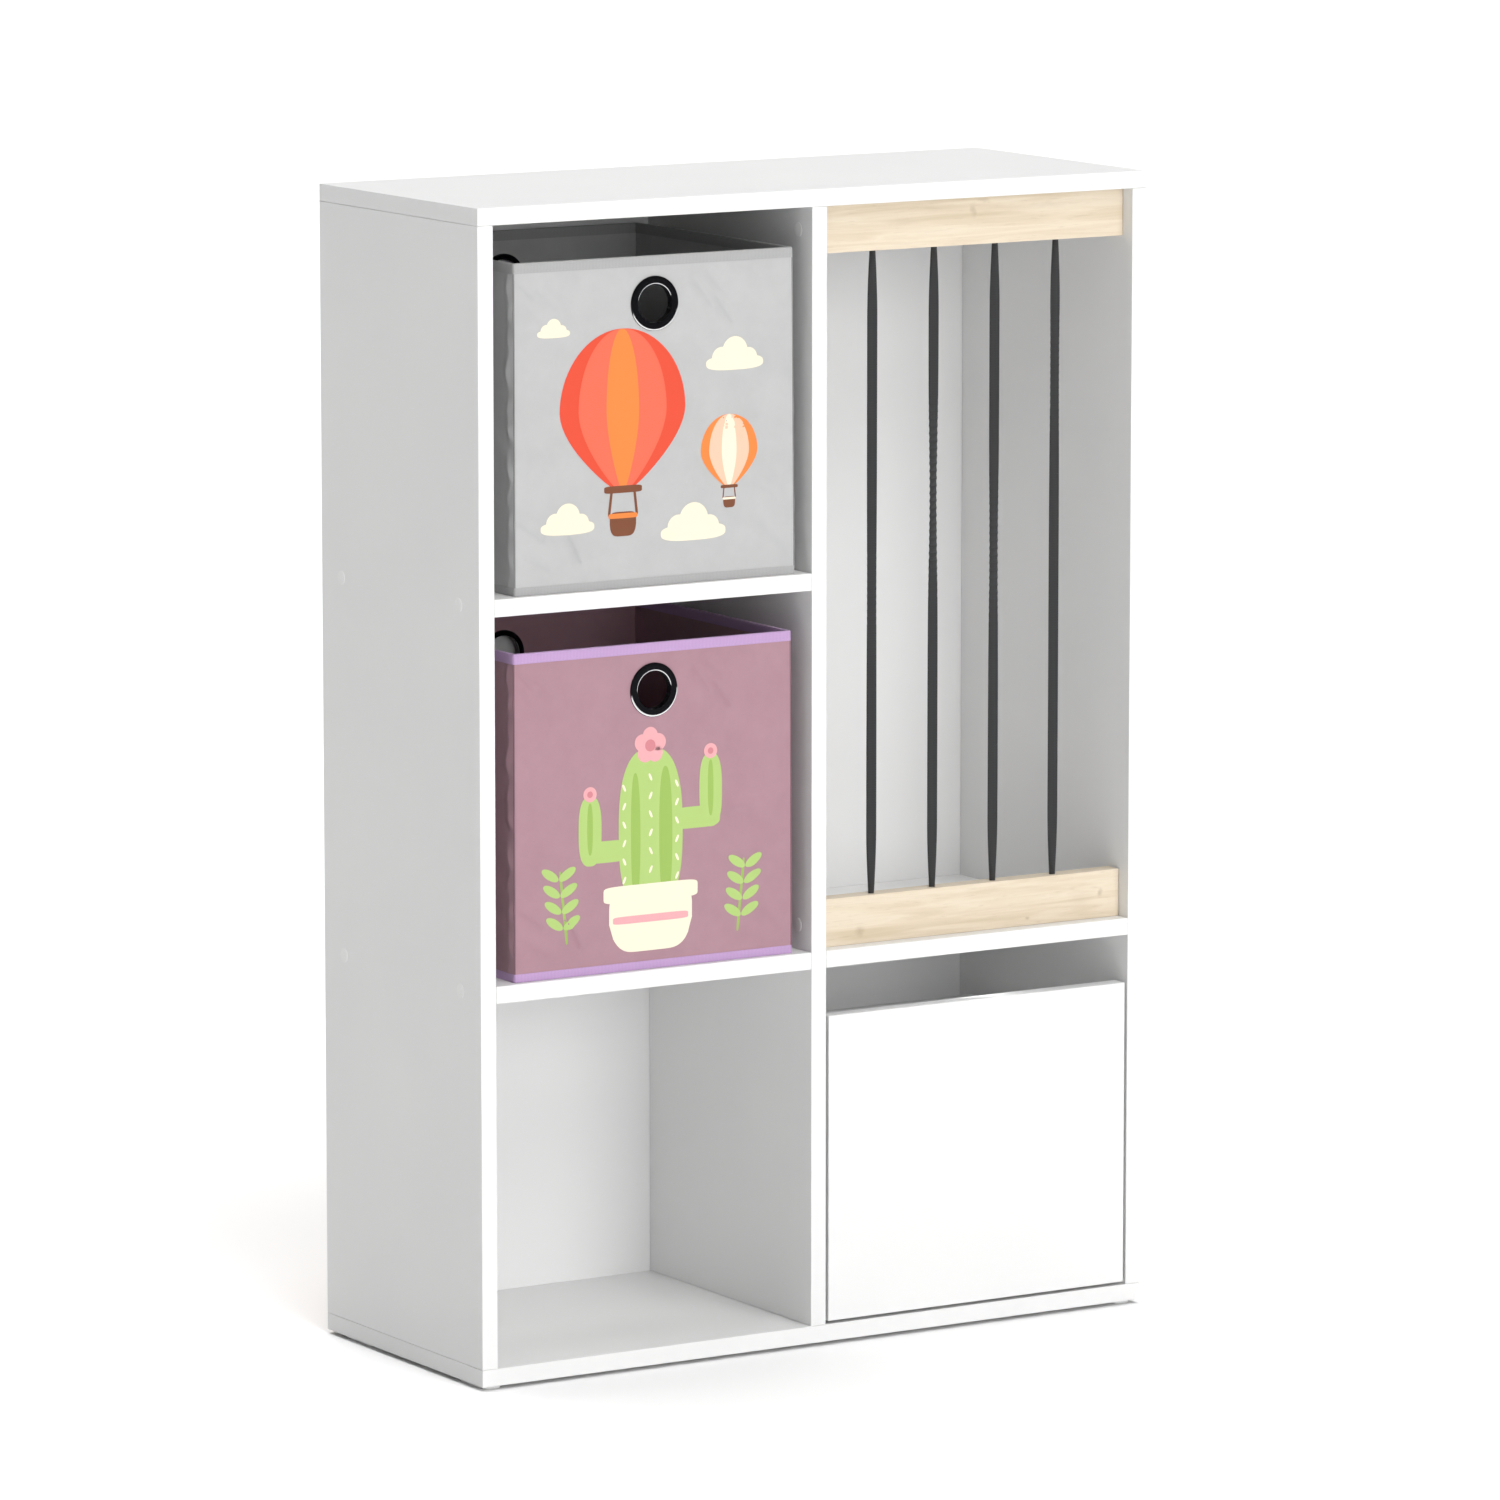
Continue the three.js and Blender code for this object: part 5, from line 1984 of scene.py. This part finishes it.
    def add_card(self, mirrors: Sequence[bpy.types.Object]) -> None:
        """Lays a bright card on the floor in front of the unit, for polished pieces to mirror.

        Args:
            mirrors: The pieces that it lights. Nothing else receives it.
        """
        lamp = self.add_panel("floor_card", (self.card_width, self.card_depth), self.card_power)
        lamp.location = (self.card_right, -self.card_gap - self.card_depth / 2, self.card_height)
        lamp.rotation_euler = (math.pi, 0, 0)
        receivers = bpy.data.collections.new("card_mirrors")
        for piece in mirrors:
            receivers.objects.link(piece)
        lamp.light_linking.receiver_collection = receivers

    def add_camera(self) -> None:
        """Stands the camera where the photograph was taken from."""
        camera = bpy.data.cameras.new("photo_camera")
        camera.sensor_width = self.camera_sensor
        camera.lens = self.camera_lens
        camera.clip_end = self.camera_reach
        stand = bpy.data.objects.new("photo_camera", camera)
        stand.location = self.camera_place
        turn = (math.radians(90 - self.camera_pitch), 0, -math.radians(self.camera_yaw))
        stand.rotation_euler = turn
        bpy.context.scene.collection.objects.link(stand)
        bpy.context.scene.camera = stand


# For the two outer cloths, the third colour is painted shade for the hollows beside the creases
GREY_CLOTH = NonWoven("grey_polypropylene_spun", "#B4B4B4", "#AEAEAE", crease_shade="#A6A6A7")
GREY_LINING = NonWoven("grey_polypropylene_spun_lining", "#BFBFBF", "#B9B9B9")
GREY_TAPE = BindingTape("grey_binding_woven", "#A9A9A9", "#A0A0A0")
MAUVE_CLOTH = NonWoven("mauve_polypropylene_spun", "#A5828C", "#9F7C86", crease_shade="#997681")
MAUVE_LINING = NonWoven("mauve_polypropylene_spun_lining", "#AB8892", "#A5828C")
LILAC_TAPE = BindingTape("lilac_binding_woven", "#BB9CC4", "#AF8FBA")

# How much wider and higher the creases are made than the list gives them, so that they show
CREASE_SPREAD, CREASE_LIFT = 1.1, 2.6
CREASES = tuple(
    Crease(
        (x1 * MM, z1 * MM), (x2 * MM, z2 * MM),
        CREASE_SPREAD * width * MM, CREASE_LIFT * height * MM,
    )
    for x1, z1, x2, z2, width, height in (
        (-142, 280, -128, 267, 3.0, 0.7), (-124, 273, -106, 257, 3.2, 0.6),
        (-136, 262, -122, 246, 4.0, 0.5), (-50, 284, -30, 268, 4.5, 0.4),
        (42, 274, 58, 252, 3.0, 0.7), (56, 280, 72, 262, 3.4, 0.6),
        (64, 258, 80, 236, 3.0, 0.75), (84, 288, 106, 278, 4.5, 0.5),
        (104, 270, 130, 276, 4.0, 0.4), (76, 143, 106, 146, 2.6, 0.6),
        (103, 140, 122, 128, 3.4, 0.4), (104, 86, 128, 70, 4.0, 0.5),
        (110, 50, 134, 24, 6.0, 0.6), (-91, 50, -80, 27, 3.0, 0.9),
        (-142, 64, -118, 48, 3.6, 0.7), (-136, 34, -112, 22, 4.5, 0.6),
        (-128, 126, -108, 118, 5.0, 0.4), (-138, 200, -112, 222, 7.0, 0.4),
        (118, 196, 136, 228, 6.0, 0.45), (-30, 20, 30, 26, 8.0, 0.4),
    )
)


def balloon_print() -> tuple[Shape, ...]:
    """Lays out the print of the grey box: two balloons among clouds.

    Returns:
        The shapes.
    """
    red, coral, orange = Ink.RED.name, Ink.CORAL.name, Ink.ORANGE.name
    peach, cream, brown = Ink.PEACH.name, Ink.CREAM.name, Ink.BROWN.name
    shapes = balloon(-34 * MM, 162 * MM, 66 * MM, [red, coral, orange, brown])
    shapes += balloon(78 * MM, 118 * MM, 30 * MM, [orange, peach, cream, brown])
    for x, z, size in ((84, 200, 30), (-92, 60, 28), (40, 48, 34), (-106, 236, 17)):
        shapes += cloud(x * MM, z * MM, size * MM)
    return tuple(shapes)


def main() -> None:
    """Builds every part of the scene in order."""
    studio = Studio()
    studio.build()
    Carcass().build()
    ToyBay().build()
    DrawerBay().build()
    grey_box = FabricBox(
        "grey", GREY_CLOTH, GREY_LINING, GREY_TAPE, balloon_print(), seam_colour="#828282",
        flare=2.4 * MM, creases=CREASES,
    )
    mauve_box = FabricBox(
        "mauve", MAUVE_CLOTH, MAUVE_LINING, LILAC_TAPE, potted_cactus(), seam_colour="#7C5C66",
        flare=1.2 * MM, creases=CREASES,
    )
    for box in (grey_box, mauve_box):
        box.build()
    studio.add_card(grey_box.rings + mauve_box.rings)


if __name__ == "__main__":
    main()
